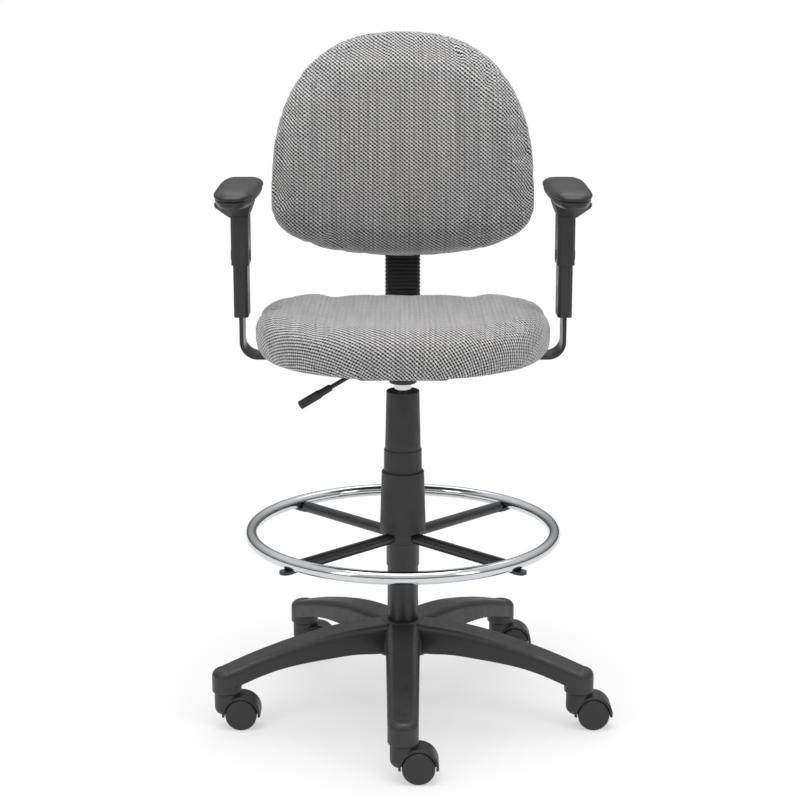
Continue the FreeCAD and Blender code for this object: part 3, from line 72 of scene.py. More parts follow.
# ================================================================ node helpers
class Nodes:
    """A material's node tree, with short calls for the nodes used here."""

    def __init__(self, name):
        self.material = bpy.data.materials.new(name)
        self.material.use_nodes = True
        self.tree = self.material.node_tree
        self.shader = self.tree.nodes["Principled BSDF"]

    def add(self, kind, **values):
        node = self.tree.nodes.new(kind)
        for key, value in values.items():
            setattr(node, key, value)
        return node

    def link(self, source, target):
        self.tree.links.new(source, target)

    def feed(self, value, socket):
        if isinstance(value, bpy.types.NodeSocket):
            self.link(value, socket)
        else:
            socket.default_value = value

    def coordinates(self, attribute=None):
        if attribute:
            return self.add("ShaderNodeAttribute", attribute_name=attribute).outputs["Vector"]
        return self.add("ShaderNodeTexCoord").outputs["Object"]

    def stretched(self, vector, scale):
        node = self.add("ShaderNodeMapping")
        node.inputs["Scale"].default_value = scale
        self.link(vector, node.inputs["Vector"])
        return node.outputs["Vector"]

    def noise(self, vector, scale, detail=2.0, roughness=0.5):
        node = self.add("ShaderNodeTexNoise")
        node.inputs["Scale"].default_value = scale
        node.inputs["Detail"].default_value = detail
        node.inputs["Roughness"].default_value = roughness
        self.link(vector, node.inputs["Vector"])
        return node.outputs["Fac"]

    def cells(self, vector, scale, feature="DISTANCE_TO_EDGE"):
        node = self.add("ShaderNodeTexVoronoi", feature=feature)
        node.inputs["Scale"].default_value = scale
        self.link(vector, node.inputs["Vector"])
        return node.outputs["Distance"]

    def math(self, operation, first, second=0.0, clamp=False):
        node = self.add("ShaderNodeMath", operation=operation, use_clamp=clamp)
        self.feed(first, node.inputs[0])
        self.feed(second, node.inputs[1])
        return node.outputs[0]

    def spread(self, value, low, high, to_low=0.0, to_high=1.0, smooth=False):
        node = self.add("ShaderNodeMapRange")
        node.interpolation_type = "SMOOTHSTEP" if smooth else "LINEAR"
        for socket, number in zip(node.inputs[1:5], (low, high, to_low, to_high)):
            socket.default_value = number
        self.link(value, node.inputs["Value"])
        return node.outputs["Result"]

    def mixed(self, share, first, second):
        node = self.add("ShaderNodeMix", data_type="RGBA")
        self.feed(share, node.inputs["Factor"])
        self.feed(first, node.inputs["A"])
        self.feed(second, node.inputs["B"])
        return node.outputs["Result"]

    def bumped(self, height, distance, strength=1.0, normal=None):
        node = self.add("ShaderNodeBump")
        node.inputs["Distance"].default_value = distance
        node.inputs["Strength"].default_value = strength
        self.link(height, node.inputs["Height"])
        if normal is not None:
            self.link(normal, node.inputs["Normal"])
        return node.outputs["Normal"]

    def edges(self, radius):
        """A softened normal, and a mask that is 1 on the object's sharp edges."""
        bevel = self.add("ShaderNodeBevel", samples=6)
        bevel.inputs["Radius"].default_value = radius
        geometry = self.add("ShaderNodeNewGeometry")
        dot = self.add("ShaderNodeVectorMath", operation="DOT_PRODUCT")
        self.link(bevel.outputs["Normal"], dot.inputs[0])
        self.link(geometry.outputs["True Normal"], dot.inputs[1])
        mask = self.spread(dot.outputs["Value"], 0.995, 0.9)
        return bevel.outputs["Normal"], mask

    def finish(self, colour, roughness, normal=None, **constants):
        self.feed(colour, self.shader.inputs["Base Color"])
        self.feed(roughness, self.shader.inputs["Roughness"])
        if normal is not None:
            self.link(normal, self.shader.inputs["Normal"])
        for key, value in constants.items():
            self.shader.inputs[key.replace("_", " ")].default_value = value
        return self.material


def grey(value, warmth=0.0):
    return (value * (1 + warmth), value, value * (1 - warmth), 1.0)


# ================================================================ materials
WEAVE_PITCH = 7.5 * MM      # along a row of the weave
WEAVE_ROWS = 6.1 * MM       # two rows
WEAVE_SLANT = 0.6           # share of the pattern that leans to one diagonal


def moulded(name, shade, roughness, grain=1100.0, grain_depth=0.05 * MM, edge=1.0 * MM, shine=0.5):
    """Spark-eroded moulded plastic: fine grain, uneven shade, and edges rubbed a little lighter."""
    n = Nodes(name)
    place = n.coordinates()
    normal, worn = n.edges(edge)
    cloud = n.noise(place, 14.0, 4.0)
    base = n.mixed(cloud, grey(shade * 0.82), grey(shade * 1.2))
    colour = n.mixed(n.math("MULTIPLY", worn, 0.35), base, grey(shade * 2.6))
    fine = n.noise(place, grain, 3.0, 0.65)
    rough = n.spread(n.noise(place, 60.0, 3.0), 0.3, 0.7, roughness - 0.06, roughness + 0.07)
    normal = n.bumped(fine, grain_depth, 0.5, normal)
    return n.finish(colour, rough, normal, Specular_IOR_Level=shine)


def powder_coat(name, shade, roughness):
    """Black paint on steel, with the orange peel of a powder coat."""
    n = Nodes(name)
    place = n.coordinates()
    normal, worn = n.edges(0.8 * MM)
    peel = n.noise(place, 420.0, 2.0, 0.4)
    colour = n.mixed(n.noise(place, 9.0, 3.0), grey(shade * 0.85), grey(shade * 1.15))
    colour = n.mixed(n.math("MULTIPLY", worn, 0.25), colour, grey(shade * 3.0))
    rough = n.spread(n.noise(place, 35.0, 4.0), 0.3, 0.7, roughness - 0.05, roughness + 0.08)
    normal = n.bumped(peel, 0.12 * MM, 0.35, normal)
    return n.finish(colour, rough, normal, Coat_Weight=0.15, Coat_Roughness=0.25)


def chrome():
    """Polished plate: faint polishing marks and smudges."""
    n = Nodes("chrome_plate")
    place = n.coordinates()
    smudge = n.noise(place, 18.0, 5.0, 0.6)
    rough = n.spread(smudge, 0.35, 0.75, 0.045, 0.14)
    marks = n.noise(n.stretched(place, (1.0, 1.0, 9.0)), 260.0, 2.0)
    colour = n.mixed(smudge, (0.72, 0.73, 0.75, 1.0), (0.55, 0.56, 0.58, 1.0))
    normal = n.bumped(marks, 0.01 * MM, 0.25)
    return n.finish(colour, rough, normal, Metallic=1.0)


def zinc_plate():
    """Bright zinc on screws, pins and stems."""
    n = Nodes("zinc_plate")
    place = n.coordinates()
    spangle = n.cells(place, 260.0, "F1")
    colour = n.mixed(spangle, (0.52, 0.54, 0.57, 1.0), (0.68, 0.68, 0.66, 1.0))
    rough = n.spread(n.noise(place, 300.0, 3.0), 0.3, 0.7, 0.26, 0.44)
    normal = n.bumped(n.noise(n.stretched(place, (1.0, 1.0, 14.0)), 500.0), 0.02 * MM, 0.4)
    return n.finish(colour, rough, normal, Metallic=1.0)


def acetal():
    """Slightly waxy bearing plastic."""
    n = Nodes("acetal_plastic")
    place = n.coordinates()
    colour = n.mixed(n.noise(place, 40.0, 3.0), grey(0.085), grey(0.12))
    rough = n.spread(n.noise(place, 90.0, 3.0), 0.3, 0.7, 0.3, 0.42)
    normal = n.bumped(n.noise(place, 700.0, 2.0), 0.02 * MM, 0.3)
    return n.finish(colour, rough, normal)


def plywood():
    """Bent ply: face grain along the height and thin dark glue lines."""
    n = Nodes("bent_plywood")
    place = n.coordinates()
    grain = n.noise(n.stretched(place, (60.0, 6.0, 3.0)), 3.0, 6.0, 0.6)
    ply = n.add("ShaderNodeTexWave", bands_direction="Z")
    ply.inputs["Scale"].default_value = 95.0
    ply.inputs["Distortion"].default_value = 1.2
    n.link(place, ply.inputs["Vector"])
    colour = n.mixed(grain, (0.52, 0.36, 0.2, 1.0), (0.76, 0.58, 0.37, 1.0))
    colour = n.mixed(n.spread(ply.outputs["Fac"], 0.8, 1.0, 0.0, 0.5), colour, (0.25, 0.15, 0.08, 1.0))
    return n.finish(colour, n.spread(grain, 0.2, 0.8, 0.6, 0.8), n.bumped(grain, 0.1 * MM, 0.5))


def weave():
    """Two-tone upholstery weave on the cloth's own coordinates: light floats over a dark ground."""
    n = Nodes("grey_weave")
    cloth = n.coordinates("cloth")
    drift = n.add("ShaderNodeVectorMath", operation="SCALE")
    wander = n.add("ShaderNodeTexNoise")
    wander.inputs["Scale"].default_value = 260.0
    wander.inputs["Detail"].default_value = 1.0
    n.link(cloth, wander.inputs["Vector"])
    n.link(wander.outputs["Color"], drift.inputs[0])
    drift.inputs["Scale"].default_value = 1.1 * MM
    moved = n.add("ShaderNodeVectorMath", operation="ADD")
    n.link(cloth, moved.inputs[0])
    n.link(drift.outputs["Vector"], moved.inputs[1])
    parts = n.add("ShaderNodeSeparateXYZ")
    n.link(moved.outputs["Vector"], parts.inputs[0])
    along = n.math("MULTIPLY", parts.outputs["X"], 2 * math.pi / WEAVE_PITCH)
    across = n.math("MULTIPLY", parts.outputs["Y"], 2 * math.pi / WEAVE_ROWS)
    falling = n.math("COSINE", n.math("ADD", along, across))
    rising = n.math("COSINE", n.math("SUBTRACT", along, across))
    lattice = n.math("ADD", n.math("MULTIPLY", falling, WEAVE_SLANT),
                     n.math("MULTIPLY", rising, 1 - WEAVE_SLANT))
    ply = n.math("COSINE", n.math("MULTIPLY", across, 6.0))
    warp = n.noise(n.stretched(cloth, (1.0, 0.02, 1.0)), 240.0, 2.0)
    fibre = n.noise(n.stretched(cloth, (0.35, 1.0, 1.0)), 3200.0, 3.0, 0.7)
    yarn = n.noise(n.stretched(cloth, (0.3, 1.4, 1.0)), 190.0, 2.0)
    raised = n.spread(lattice, -0.34, 0.26, smooth=True)
    shade = n.math("ADD", n.spread(fibre, 0.2, 0.8, -0.12, 0.12), n.math("MULTIPLY", ply, 0.05))
    shade = n.math("ADD", shade, n.spread(yarn, 0.3, 0.7, -0.14, 0.14))
    shade = n.math("ADD", shade, n.spread(warp, 0.35, 0.65, -0.25, 0.25))
    shade = n.math("ADD", shade, n.math("MULTIPLY", n.math("COSINE", along), 0.18))
    light = n.mixed(n.math("ADD", shade, 0.5, clamp=True), grey(0.34, 0.004), grey(0.66, 0.004))
    dark = n.mixed(fibre, grey(0.008), grey(0.03))
    colour = n.mixed(raised, dark, light)
    height = n.math("ADD", n.math("MULTIPLY", raised, 1.0), n.math("MULTIPLY", ply, 0.12))
    height = n.math("ADD", height, n.math("MULTIPLY", fibre, 0.25))
    normal = n.bumped(height, 0.45 * MM, 0.7)
    rough = n.spread(fibre, 0.2, 0.8, 0.82, 0.98)
    return n.finish(colour, rough, normal, Sheen_Weight=0.6, Sheen_Roughness=0.45,
                    Specular_IOR_Level=0.2)


def pad_skin():
    """Self-skinned urethane of the arm pads: soft leather grain, semi-gloss, duller in random patches."""
    n = Nodes("pad_skin")
    place = n.coordinates()
    pebble = n.cells(place, 520.0)
    crease = n.spread(pebble, 0.0, 0.16, smooth=True)
    rubbed = n.noise(place, 22.0, 4.0)
    colour = n.mixed(rubbed, grey(0.012), grey(0.022))
    rough = n.spread(rubbed, 0.3, 0.7, 0.26, 0.36)
    height = n.math("ADD", crease, n.math("MULTIPLY", n.noise(place, 1500.0, 2.0), 0.3))
    normal = n.bumped(height, 0.09 * MM, 0.4)
    return n.finish(colour, rough, normal, Specular_IOR_Level=0.4)


def boot_rubber():
    """Matt moulded rubber with a faint bloom."""
    n = Nodes("boot_rubber")
    place = n.coordinates()
    bloom = n.noise(place, 45.0, 5.0, 0.6)
    colour = n.mixed(bloom, grey(0.012), grey(0.03))
    rough = n.spread(bloom, 0.3, 0.7, 0.5, 0.66)
    return n.finish(colour, rough, n.bumped(n.noise(place, 900.0, 3.0), 0.05 * MM, 0.5))


def slot_materials():
    return {
        "moulded_nylon": moulded("moulded_nylon", 0.022, 0.42),
        "caster_nylon": moulded("caster_nylon", 0.019, 0.45),
        "caster_wheel": moulded("caster_wheel", 0.017, 0.4, edge=1.6 * MM),
        "black_steel": powder_coat("black_steel", 0.013, 0.36),
        "chrome": chrome(),
        "bare_steel": zinc_plate(),
        "slide_plastic": acetal(),
        "cover_plastic": moulded("cover_plastic", 0.025, 0.5, grain=1400.0, edge=0.6 * MM),
        "plywood": plywood(),
        "grey_weave": weave(),
        "arm_pad_skin": pad_skin(),
        "boot_rubber": boot_rubber(),
    }


def paint_frame(materials):
    """Every rigid piece takes the material of its own slot in the record."""
    for part in frame["record"]["subparts"]:
        node = frame["nodes"][part["node"]]
        if not node.material_slots:
            node.data.materials.append(None)
        for slot in node.material_slots:
            slot.material = materials[part["material_slot"]]


# ================================================================ soft forms
RING_POINTS = 96


def signed_power(value, power):
    return np.sign(value) * np.abs(value) ** power


def superellipse(half_x, reach_low, reach_high, power_low, power_high, inset=0.0):
    """A closed plan outline whose lower and upper halves have their own reach and fullness."""
    angle = np.linspace(0, 2 * math.pi, RING_POINTS, endpoint=False)
    low = np.sin(angle) < 0
    power = np.where(low, power_low, power_high)
    reach = np.where(low, reach_low, reach_high) - inset
    across = (half_x - inset) * signed_power(np.cos(angle), 2 / power)
    along = reach * signed_power(np.sin(angle), 2 / power)
    return np.stack([across, along], 1)


def ring_form(name, rings):
    """A closed mesh through rings of points; the first and last ring are closed with a fan."""
    count = len(rings[0])
    points = [p for ring in rings for p in ring]
    faces = []
    for level in range(len(rings) - 1):
        start = level * count
        for i in range(count):
            j = (i + 1) % count
            faces.append((start + i, start + j, start + count + j, start + count + i))
    for level, order in ((0, -1), (len(rings) - 1, 1)):
        middle = len(points)
        points.append(np.mean(rings[level], 0))
        start = level * count
        for i in range(count):
            j = (i + 1) % count
            faces.append((start + i, start + j, middle)[::order])
    mesh = bpy.data.meshes.new(name)
    mesh.from_pydata([tuple(map(float, p)) for p in points], [], faces)
    made = bpy.data.objects.new(name, mesh)
    scene.collection.objects.link(made)
    tidy_normals(made)
    return made


def tidy_normals(made):
    work = bmesh.new()
    work.from_mesh(made.data)
    bmesh.ops.recalc_face_normals(work, faces=work.faces)
    work.to_mesh(made.data)
    work.free()
    made.data.shade_smooth()


def coordinates_of(mesh):
    flat = np.empty(len(mesh.vertices) * 3)
    mesh.vertices.foreach_get("co", flat)
    return flat.reshape(-1, 3)


def set_coordinates(mesh, points):
    mesh.vertices.foreach_set("co", points.astype(np.float32).ravel())
    mesh.update()


def apply_modifiers(made):
    graph = bpy.context.evaluated_depsgraph_get()
    done = bpy.data.meshes.new_from_object(made.evaluated_get(graph))
    old = made.data
    made.modifiers.clear()
    made.data = done
    bpy.data.meshes.remove(old)


def remesh(made, size):
    modifier = made.modifiers.new("remesh", "REMESH")
    modifier.mode = "VOXEL"
    modifier.voxel_size = size
    apply_modifiers(made)
    relax(made, 3)
    made.data.shade_smooth()


def relax(made, turns):
    """Evens out the steps that the voxels leave."""
    work = bmesh.new()
    work.from_mesh(made.data)
    for _ in range(turns):
        bmesh.ops.smooth_vert(work, verts=work.verts, factor=0.5, use_axis_x=True, use_axis_y=True,
                              use_axis_z=True)
    work.to_mesh(made.data)
    work.free()


def inflate(made, pinned, pressure, furthest):
    """Cloth blown up from inside; pinned points stay where the piece rests on its board."""
    start = coordinates_of(made.data)
    group = made.vertex_groups.new(name="pinned")
    group.add([int(i) for i in np.nonzero(pinned)[0]], 1.0, "REPLACE")
    cloth = made.modifiers.new("cloth", "CLOTH")
    cloth.settings.quality = 5
    cloth.settings.mass = 0.3
    cloth.settings.use_pressure = True
    cloth.settings.uniform_pressure_force = pressure
    cloth.settings.effector_weights.gravity = 0.0
    cloth.settings.vertex_group_mass = "pinned"
    cloth.collision_settings.use_collision = False
    cloth.point_cache.frame_start = 1
    cloth.point_cache.frame_end = 20
    for number in range(1, 21):
        scene.frame_set(number)
    graph = bpy.context.evaluated_depsgraph_get()
    done = made.evaluated_get(graph).to_mesh()
    shift = coordinates_of(done) - start
    made.evaluated_get(graph).to_mesh_clear()
    made.modifiers.clear()
    made.vertex_groups.clear()
    length = np.linalg.norm(shift, axis=1, keepdims=True)
    print(made.name, "swelled by", round(float(length.max()) * 1000, 1), "mm")
    shift *= np.minimum(1.0, furthest / np.maximum(length, 1e-9))
    set_coordinates(made.data, start + shift)
    scene.frame_set(1)


def smooth_step(value, low, high):
    t = np.clip((value - low) / (high - low), 0, 1)
    return t * t * (3 - 2 * t)


def edge_arc(reach, below, full_reach, widest, depth):
    """Length of cloth from the core to a point on the side, taken as two quarter ellipses."""
    height = widest - below
    turn = np.arctan2(reach / full_reach, height / np.where(height > 0, widest, depth - widest))
    angle = np.linspace(0, math.pi, 181)
    upright = np.where(angle < math.pi / 2, widest, depth - widest)
    step = np.hypot(full_reach * np.cos(angle), upright * np.sin(angle)) * (angle[1] - angle[0])
    return np.interp(turn, angle, np.concatenate([[0], np.cumsum((step[1:] + step[:-1]) / 2)]))


def cloth_coordinates(flat, below, core, full_reach, widest, depth):
    """Where each point lies on the flat cloth: its plan place inside the core outline, and past it
    unrolled outward by the cloth that the rounded side takes up.  below is measured from the face."""
    place = flat.copy()
    run = np.roll(core, -1, 0) - core
    for start in range(0, len(flat), 4000):
        part = flat[start:start + 4000]
        gap = part[:, None, :] - core[None]
        share = np.clip((gap * run).sum(2) / (run * run).sum(1), 0, 1)
        away = gap - share[..., None] * run
        distance = np.linalg.norm(away, axis=2)
        best = distance.argmin(1)
        rows = np.arange(len(part))
        out = away[rows, best]
        reach = distance[rows, best]
        edge = np.stack([run[best][:, 1], -run[best][:, 0]], 1)
        outside = (out * edge).sum(1) > 0
        length = edge_arc(reach, below[start:start + 4000], full_reach, widest, depth)
        beyond = part + out / np.maximum(reach, 1e-9)[:, None] * (length - reach)[:, None]
        place[start:start + 4000] = np.where(outside[:, None], beyond, part)
    return place


def fit_outline(flat, outline):
    """Stretches plan points from the middle so that they reach the outline in every direction."""
    middle = outline.mean(0)
    bins = 120
    arm = flat - middle
    reach = np.linalg.norm(arm, axis=1)
    turn = np.arctan2(arm[:, 1], arm[:, 0])
    sector = np.floor((turn + math.pi) / (2 * math.pi) * bins).astype(int) % bins
    now = np.zeros(bins)
    np.maximum.at(now, sector, reach)
    for _ in range(2):
        now = (np.roll(now, 1) + 2 * now + np.roll(now, -1)) / 4
    around = (np.arange(bins) + 0.5) / bins * 2 * math.pi - math.pi
    goal_arm = outline - middle
    goal_turn = np.arctan2(goal_arm[:, 1], goal_arm[:, 0])
    order = np.argsort(goal_turn)
    goal = np.interp(around, goal_turn[order], np.linalg.norm(goal_arm, axis=1)[order],
                     period=2 * math.pi)
    stretch = np.interp(turn, around, goal / now, period=2 * math.pi)
    return middle + arm * stretch[:, None]


def store_cloth(made, place):
    attribute = made.data.attributes.new("cloth", "FLOAT_VECTOR", "POINT")
    values = np.zeros((len(place), 3), np.float32)
    values[:, :2] = place
    attribute.data.foreach_set("vector", values.ravel())


def subdivide(made, levels=1):
    modifier = made.modifiers.new("rounding", "SUBSURF")
    modifier.levels = levels
    modifier.render_levels = levels


# ================================================================ seat cushion
SEAT_FRONT_POWER = 2.0
SEAT_REAR_POWER = 2.6
SEAT_MIDDLE_Y = -10 * MM
# Share of the height, and how far the side draws in from the widest line.
SEAT_SIDE = ((0.0, 23), (0.03, 13), (0.12, 5), (0.26, 1), (0.42, 0), (0.6, 1), (0.75, 4.5),
             (0.86, 11), (0.94, 21), (0.985, 34), (1.0, 50))
SEAT_SIDE_FULLNESS = 0.78
SEAT_SWELL = 5 * MM         # left for the cloth to fill
SEAT_CROWN = 2 * MM         # the rolls stand this much over the foam's nominal height
PAN_INSET = 47.7 * MM
PAN_RECESS = 10.3 * MM


def seat_outline(inset, share=0.0):
    """The seat's plan.  Higher up, the sides and the rear stay fuller than the front."""
    angle = np.linspace(0, 2 * math.pi, RING_POINTS, endpoint=False)
    side = smooth_step(np.sin(angle), -0.85, -0.2)
    upper = smooth_step(np.array(share), 0.42, 0.7)
    inset = inset * (1 - SEAT_SIDE_FULLNESS * side * upper)
    low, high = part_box("seat_cushion")
    half = (high.x - low.x) / 2
    outline = superellipse(half, SEAT_MIDDLE_Y - low.y, high.y - SEAT_MIDDLE_Y, SEAT_FRONT_POWER,
                           SEAT_REAR_POWER, inset)
    return outline + (0, SEAT_MIDDLE_Y)


def seat_contour(x, y):
    """The seat's face: a shallow dish between two raised sides, lower towards the back."""
    dish = -6.0 * MM * (1 - smooth_step(np.abs(x), 108 * MM, 150 * MM))
    fade = smooth_step(y, -185 * MM, -60 * MM)
    fall = -5.0 * MM * smooth_step(y, -60 * MM, 190 * MM)
    return dish * fade + fall


def seat_cushion(materials):
    low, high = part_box("seat_cushion")
    height = high.z - low.z
    rings = []
    for share in (0.2, 0.5, 0.8):
        outline = seat_outline(SEAT_SIDE[0][1] * MM + SEAT_SWELL)
        centre = outline.mean(0)
        rings.append(lifted(centre + (outline - centre) * share, low.z))
    for share, draw in SEAT_SIDE:
        outline = seat_outline(draw * MM + SEAT_SWELL * min(1.0, share * 4), share)
        z = low.z + share * (height - SEAT_SWELL)
        rings.append(lifted(outline, z, share))
    last = rings[-1]
    for share in (0.85, 0.68, 0.5, 0.3, 0.12):
        outline = last[:, :2].mean(0) + (last[:, :2] - last[:, :2].mean(0)) * share
        rings.append(lifted(outline, high.z - SEAT_SWELL, 1.0))
    seat = ring_form("seat_upholstery", rings)
    remesh(seat, 5 * MM)
    points = coordinates_of(seat.data)
    inflate(seat, points[:, 2] < low.z + 2 * MM, 4.0, 6 * MM)
    points = coordinates_of(seat.data)
    points[:, :2] = fit_outline(points[:, :2], seat_outline(0.0))
    points[:, 2] = low.z + (points[:, 2] - low.z) * (height + SEAT_CROWN) / (points[:, 2].max() - low.z)
    settle_seat(points, low, high)
    set_coordinates(seat.data, points)
    full_reach = SEAT_SIDE[-1][1] * MM
    flat = points[:, :2]
    below = np.maximum(0, high.z + seat_contour(flat[:, 0], flat[:, 1]) - points[:, 2])
    core = seat_outline(full_reach)
    store_cloth(seat, cloth_coordinates(flat, below, core, full_reach, 0.58 * height, height))
    subdivide(seat)
    seat.data.materials.append(materials["grey_weave"])
    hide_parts("seat_cushion")
    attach(seat, "seat")


def lifted(outline, z, share=0.0):
    """Plan points at a height; the face's contour shows in full at share 1."""
    x, y = outline[:, 0], outline[:, 1]
    weight = smooth_step(np.array(share), 0.5, 1.0)
    return np.stack([x, y, z + weight * seat_contour(x, y)], 1)


def settle_seat(points, low, high):
    """Keeps the foam in its place, opens the recess for the board and gathers the cloth below."""
    points[:, 2] = np.maximum(points[:, 2], low.z)
    rim = seat_outline(PAN_INSET)
    centre = rim.mean(0)
    flat = points[:, :2] - centre
    rim_angle = np.arctan2(rim[:, 1] - centre[1], rim[:, 0] - centre[0])
    order = np.argsort(rim_angle)
    rim_reach = np.linalg.norm(rim - centre, axis=1)
    angle = np.arctan2(flat[:, 1], flat[:, 0])
    reach = np.linalg.norm(flat, axis=1)
    limit = np.interp(angle, rim_angle[order], rim_reach[order], period=2 * math.pi)
    under = points[:, 2] < low.z + 4 * MM
    inside = under & (reach < limit)
    points[inside, 2] = low.z + PAN_RECESS
    gather = under & (reach > limit) & (reach < limit + 22 * MM)
    points[gather, 2] += 0.7 * MM * (1 + np.sin(angle[gather] * 70))


# ================================================================ back cushion
BACK_LOWER_POWER = 2.35
BACK_UPPER_POWER = 2.5
BACK_WIDEST_Z = 812 * MM
BACK_BOW_RADIUS = 520 * MM
LUMBAR_Z = 800 * MM
REAR_Y = 231 * MM           # the cushion's rear face at the lumbar height
SPINE_CURVE = 0.27          # per metre, how the back leans away from there
# Share of the local depth from the rear face, and how far the side draws in.
BACK_SIDE = ((0.0, 17), (0.06, 9), (0.2, 2.5), (0.36, 0), (0.52, 1.5), (0.68, 6.5), (0.82, 15),
             (0.92, 26), (0.98, 40), (1.0, 56))
BACK_DEPTH = 42 * MM        # at the edge of the face
BACK_FULLNESS = 19 * MM     # more at the middle
BACK_LOWER_FULLNESS = 0.5
BACK_SWELL = 4 * MM
BACK_LOWER_HEM = 6 * MM     # the cloth's lower edge hangs this far under the foam
GROOVE_X = 95 * MM
GROOVE_Z = 850 * MM
GROOVE_BEND = 0.8           # per metre, how the valleys spread towards their ends


def back_outline(inset, share=0.0):
    """The back's plan in X and Z.  Towards the face, the lower edge stays fuller than the rest."""
    angle = np.linspace(0, 2 * math.pi, RING_POINTS, endpoint=False)
    lower = smooth_step(-np.sin(angle), 0.0, 0.7) * smooth_step(np.array(share), 0.4, 0.7)
    inset = inset * (1 - BACK_LOWER_FULLNESS * lower)
    low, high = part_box("back_cushion")
    half = (high.x - low.x) / 2
    outline = superellipse(half, BACK_WIDEST_Z - low.z + BACK_LOWER_HEM, high.z - BACK_WIDEST_Z, BACK_LOWER_POWER,
                           BACK_UPPER_POWER, inset)
    return outline + (0, BACK_WIDEST_Z)


def rear_face(x, z):
    return REAR_Y + SPINE_CURVE * (z - LUMBAR_Z) ** 2 - x * x / (2 * BACK_BOW_RADIUS)


def back_fullness(x, z):
    """How much thicker the foam is towards the lumbar curve than at the rim."""
    across = np.cos(np.clip(x / (215 * MM), -1, 1) * math.pi / 2) ** 0.8
    along = np.cos(np.clip((z - 850 * MM) / (235 * MM), -1, 1) * math.pi / 2)
    return across * along


def bowed(outline, depth, share):
    """Plan points (x, z) put at a depth in front of the curved rear face."""
    x, z = outline[:, 0], outline[:, 1]
    weight = smooth_step(np.array(share), 0.45, 1.0)
    thickness = depth + weight * BACK_FULLNESS * back_fullness(x, z)
    return np.stack([x, rear_face(x, z) - thickness, z], 1)


def back_cushion(materials):
    rings = []
    for share in (0.2, 0.5, 0.8):
        outline = back_outline(BACK_SIDE[0][1] * MM)
        centre = outline.mean(0)
        rings.append(bowed(centre + (outline - centre) * share, 0.0, 0.0))
    for share, draw in BACK_SIDE:
        outline = back_outline(draw * MM + BACK_SWELL * min(1.0, share * 4), share)
        rings.append(bowed(outline, share * (BACK_DEPTH - BACK_SWELL), share))
    outline = back_outline(BACK_SIDE[-1][1] * MM + BACK_SWELL, 1.0)
    centre = outline.mean(0)
    for share in (0.86, 0.7, 0.52, 0.32, 0.14):
        rings.append(bowed(centre + (outline - centre) * share, BACK_DEPTH - BACK_SWELL, 1.0))
    back = ring_form("back_upholstery", rings)
    remesh(back, 5 * MM)
    points = coordinates_of(back.data)
    behind = points[:, 1] > rear_face(points[:, 0], points[:, 2]) - 2 * MM
    inflate(back, behind, 4.0, 9 * MM)
    points = coordinates_of(back.data)
    points[:, (0, 2)] = fit_outline(points[:, (0, 2)], back_outline(0.0))
    sculpt_back(points)
    set_coordinates(back.data, points)
    depth = BACK_DEPTH + BACK_FULLNESS * back_fullness(points[:, 0], points[:, 2])
    below = np.maximum(0, depth - (rear_face(points[:, 0], points[:, 2]) - points[:, 1]))
    full_reach = BACK_SIDE[-1][1] * MM
    flat = points[:, (0, 2)]
    core = back_outline(full_reach)
    store_cloth(back, cloth_coordinates(flat, below, core, full_reach, 0.64 * BACK_DEPTH, BACK_DEPTH))
    subdivide(back)
    back.data.materials.append(materials["grey_weave"])
    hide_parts("back_cushion")
    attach(back, "backrest")


def sculpt_back(points):
    """The rear face stays on its board; two soft valleys part the side rolls from the middle."""
    x, z = points[:, 0].copy(), points[:, 2].copy()
    rear = rear_face(x, z)
    points[:, 1] = np.minimum(points[:, 1], rear)
    valley = GROOVE_X + GROOVE_BEND * (z - GROOVE_Z) ** 2
    along = smooth_step(z, 790 * MM, 830 * MM) * (1 - smooth_step(z, 930 * MM, 1000 * MM))
    offset = np.abs(x) - valley
    groove = np.exp(-(offset / (8 * MM)) ** 2) * 4.5 * MM
    roll = np.exp(-((offset - 30 * MM) / (24 * MM)) ** 2) * 1.8 * MM
    front = smooth_step(rear - points[:, 1], 15 * MM, 35 * MM)
    points[:, 1] += front * along * (groove - roll)


# ================================================================ arm pads
# Height above the pad's underside, and how far the side draws in: base lip, seam, then the skin.
PAD_SIDE = ((0.0, 8.0), (0.5, 6.6), (2.5, 4.6), (6.0, 2.8), (9.6, 1.9), (11.8, 1.9), (12.4, 3.6),
            (13.0, 1.6), (14.2, 0.4), (16.5, 0.0), (19.0, 1.1), (21.4, 3.8), (23.4, 7.8), (24.7, 12.5))
PAD_CROWN = 2.2 * MM
PAD_NARROWING = 5.5 * MM    # how much less the half width is at the front


def pad_outline(low, high, front_half, rear_half, inset):
    """A long plan shape, rounder at the front, a little wider behind."""
    middle_x = (low.x + high.x) / 2
    middle_y = (low.y + high.y) / 2
    length = (high.y - low.y) / 2 - inset
    angle = np.linspace(0, 2 * math.pi, RING_POINTS, endpoint=False)
    y = length * signed_power(np.sin(angle), 2 / 5.0)
    share = (y / length + 1) / 2
    half = front_half + share * (rear_half - front_half) - inset
    x = half * signed_power(np.cos(angle), 2 / 3.2)
    return np.stack([middle_x + x, middle_y + y], 1)


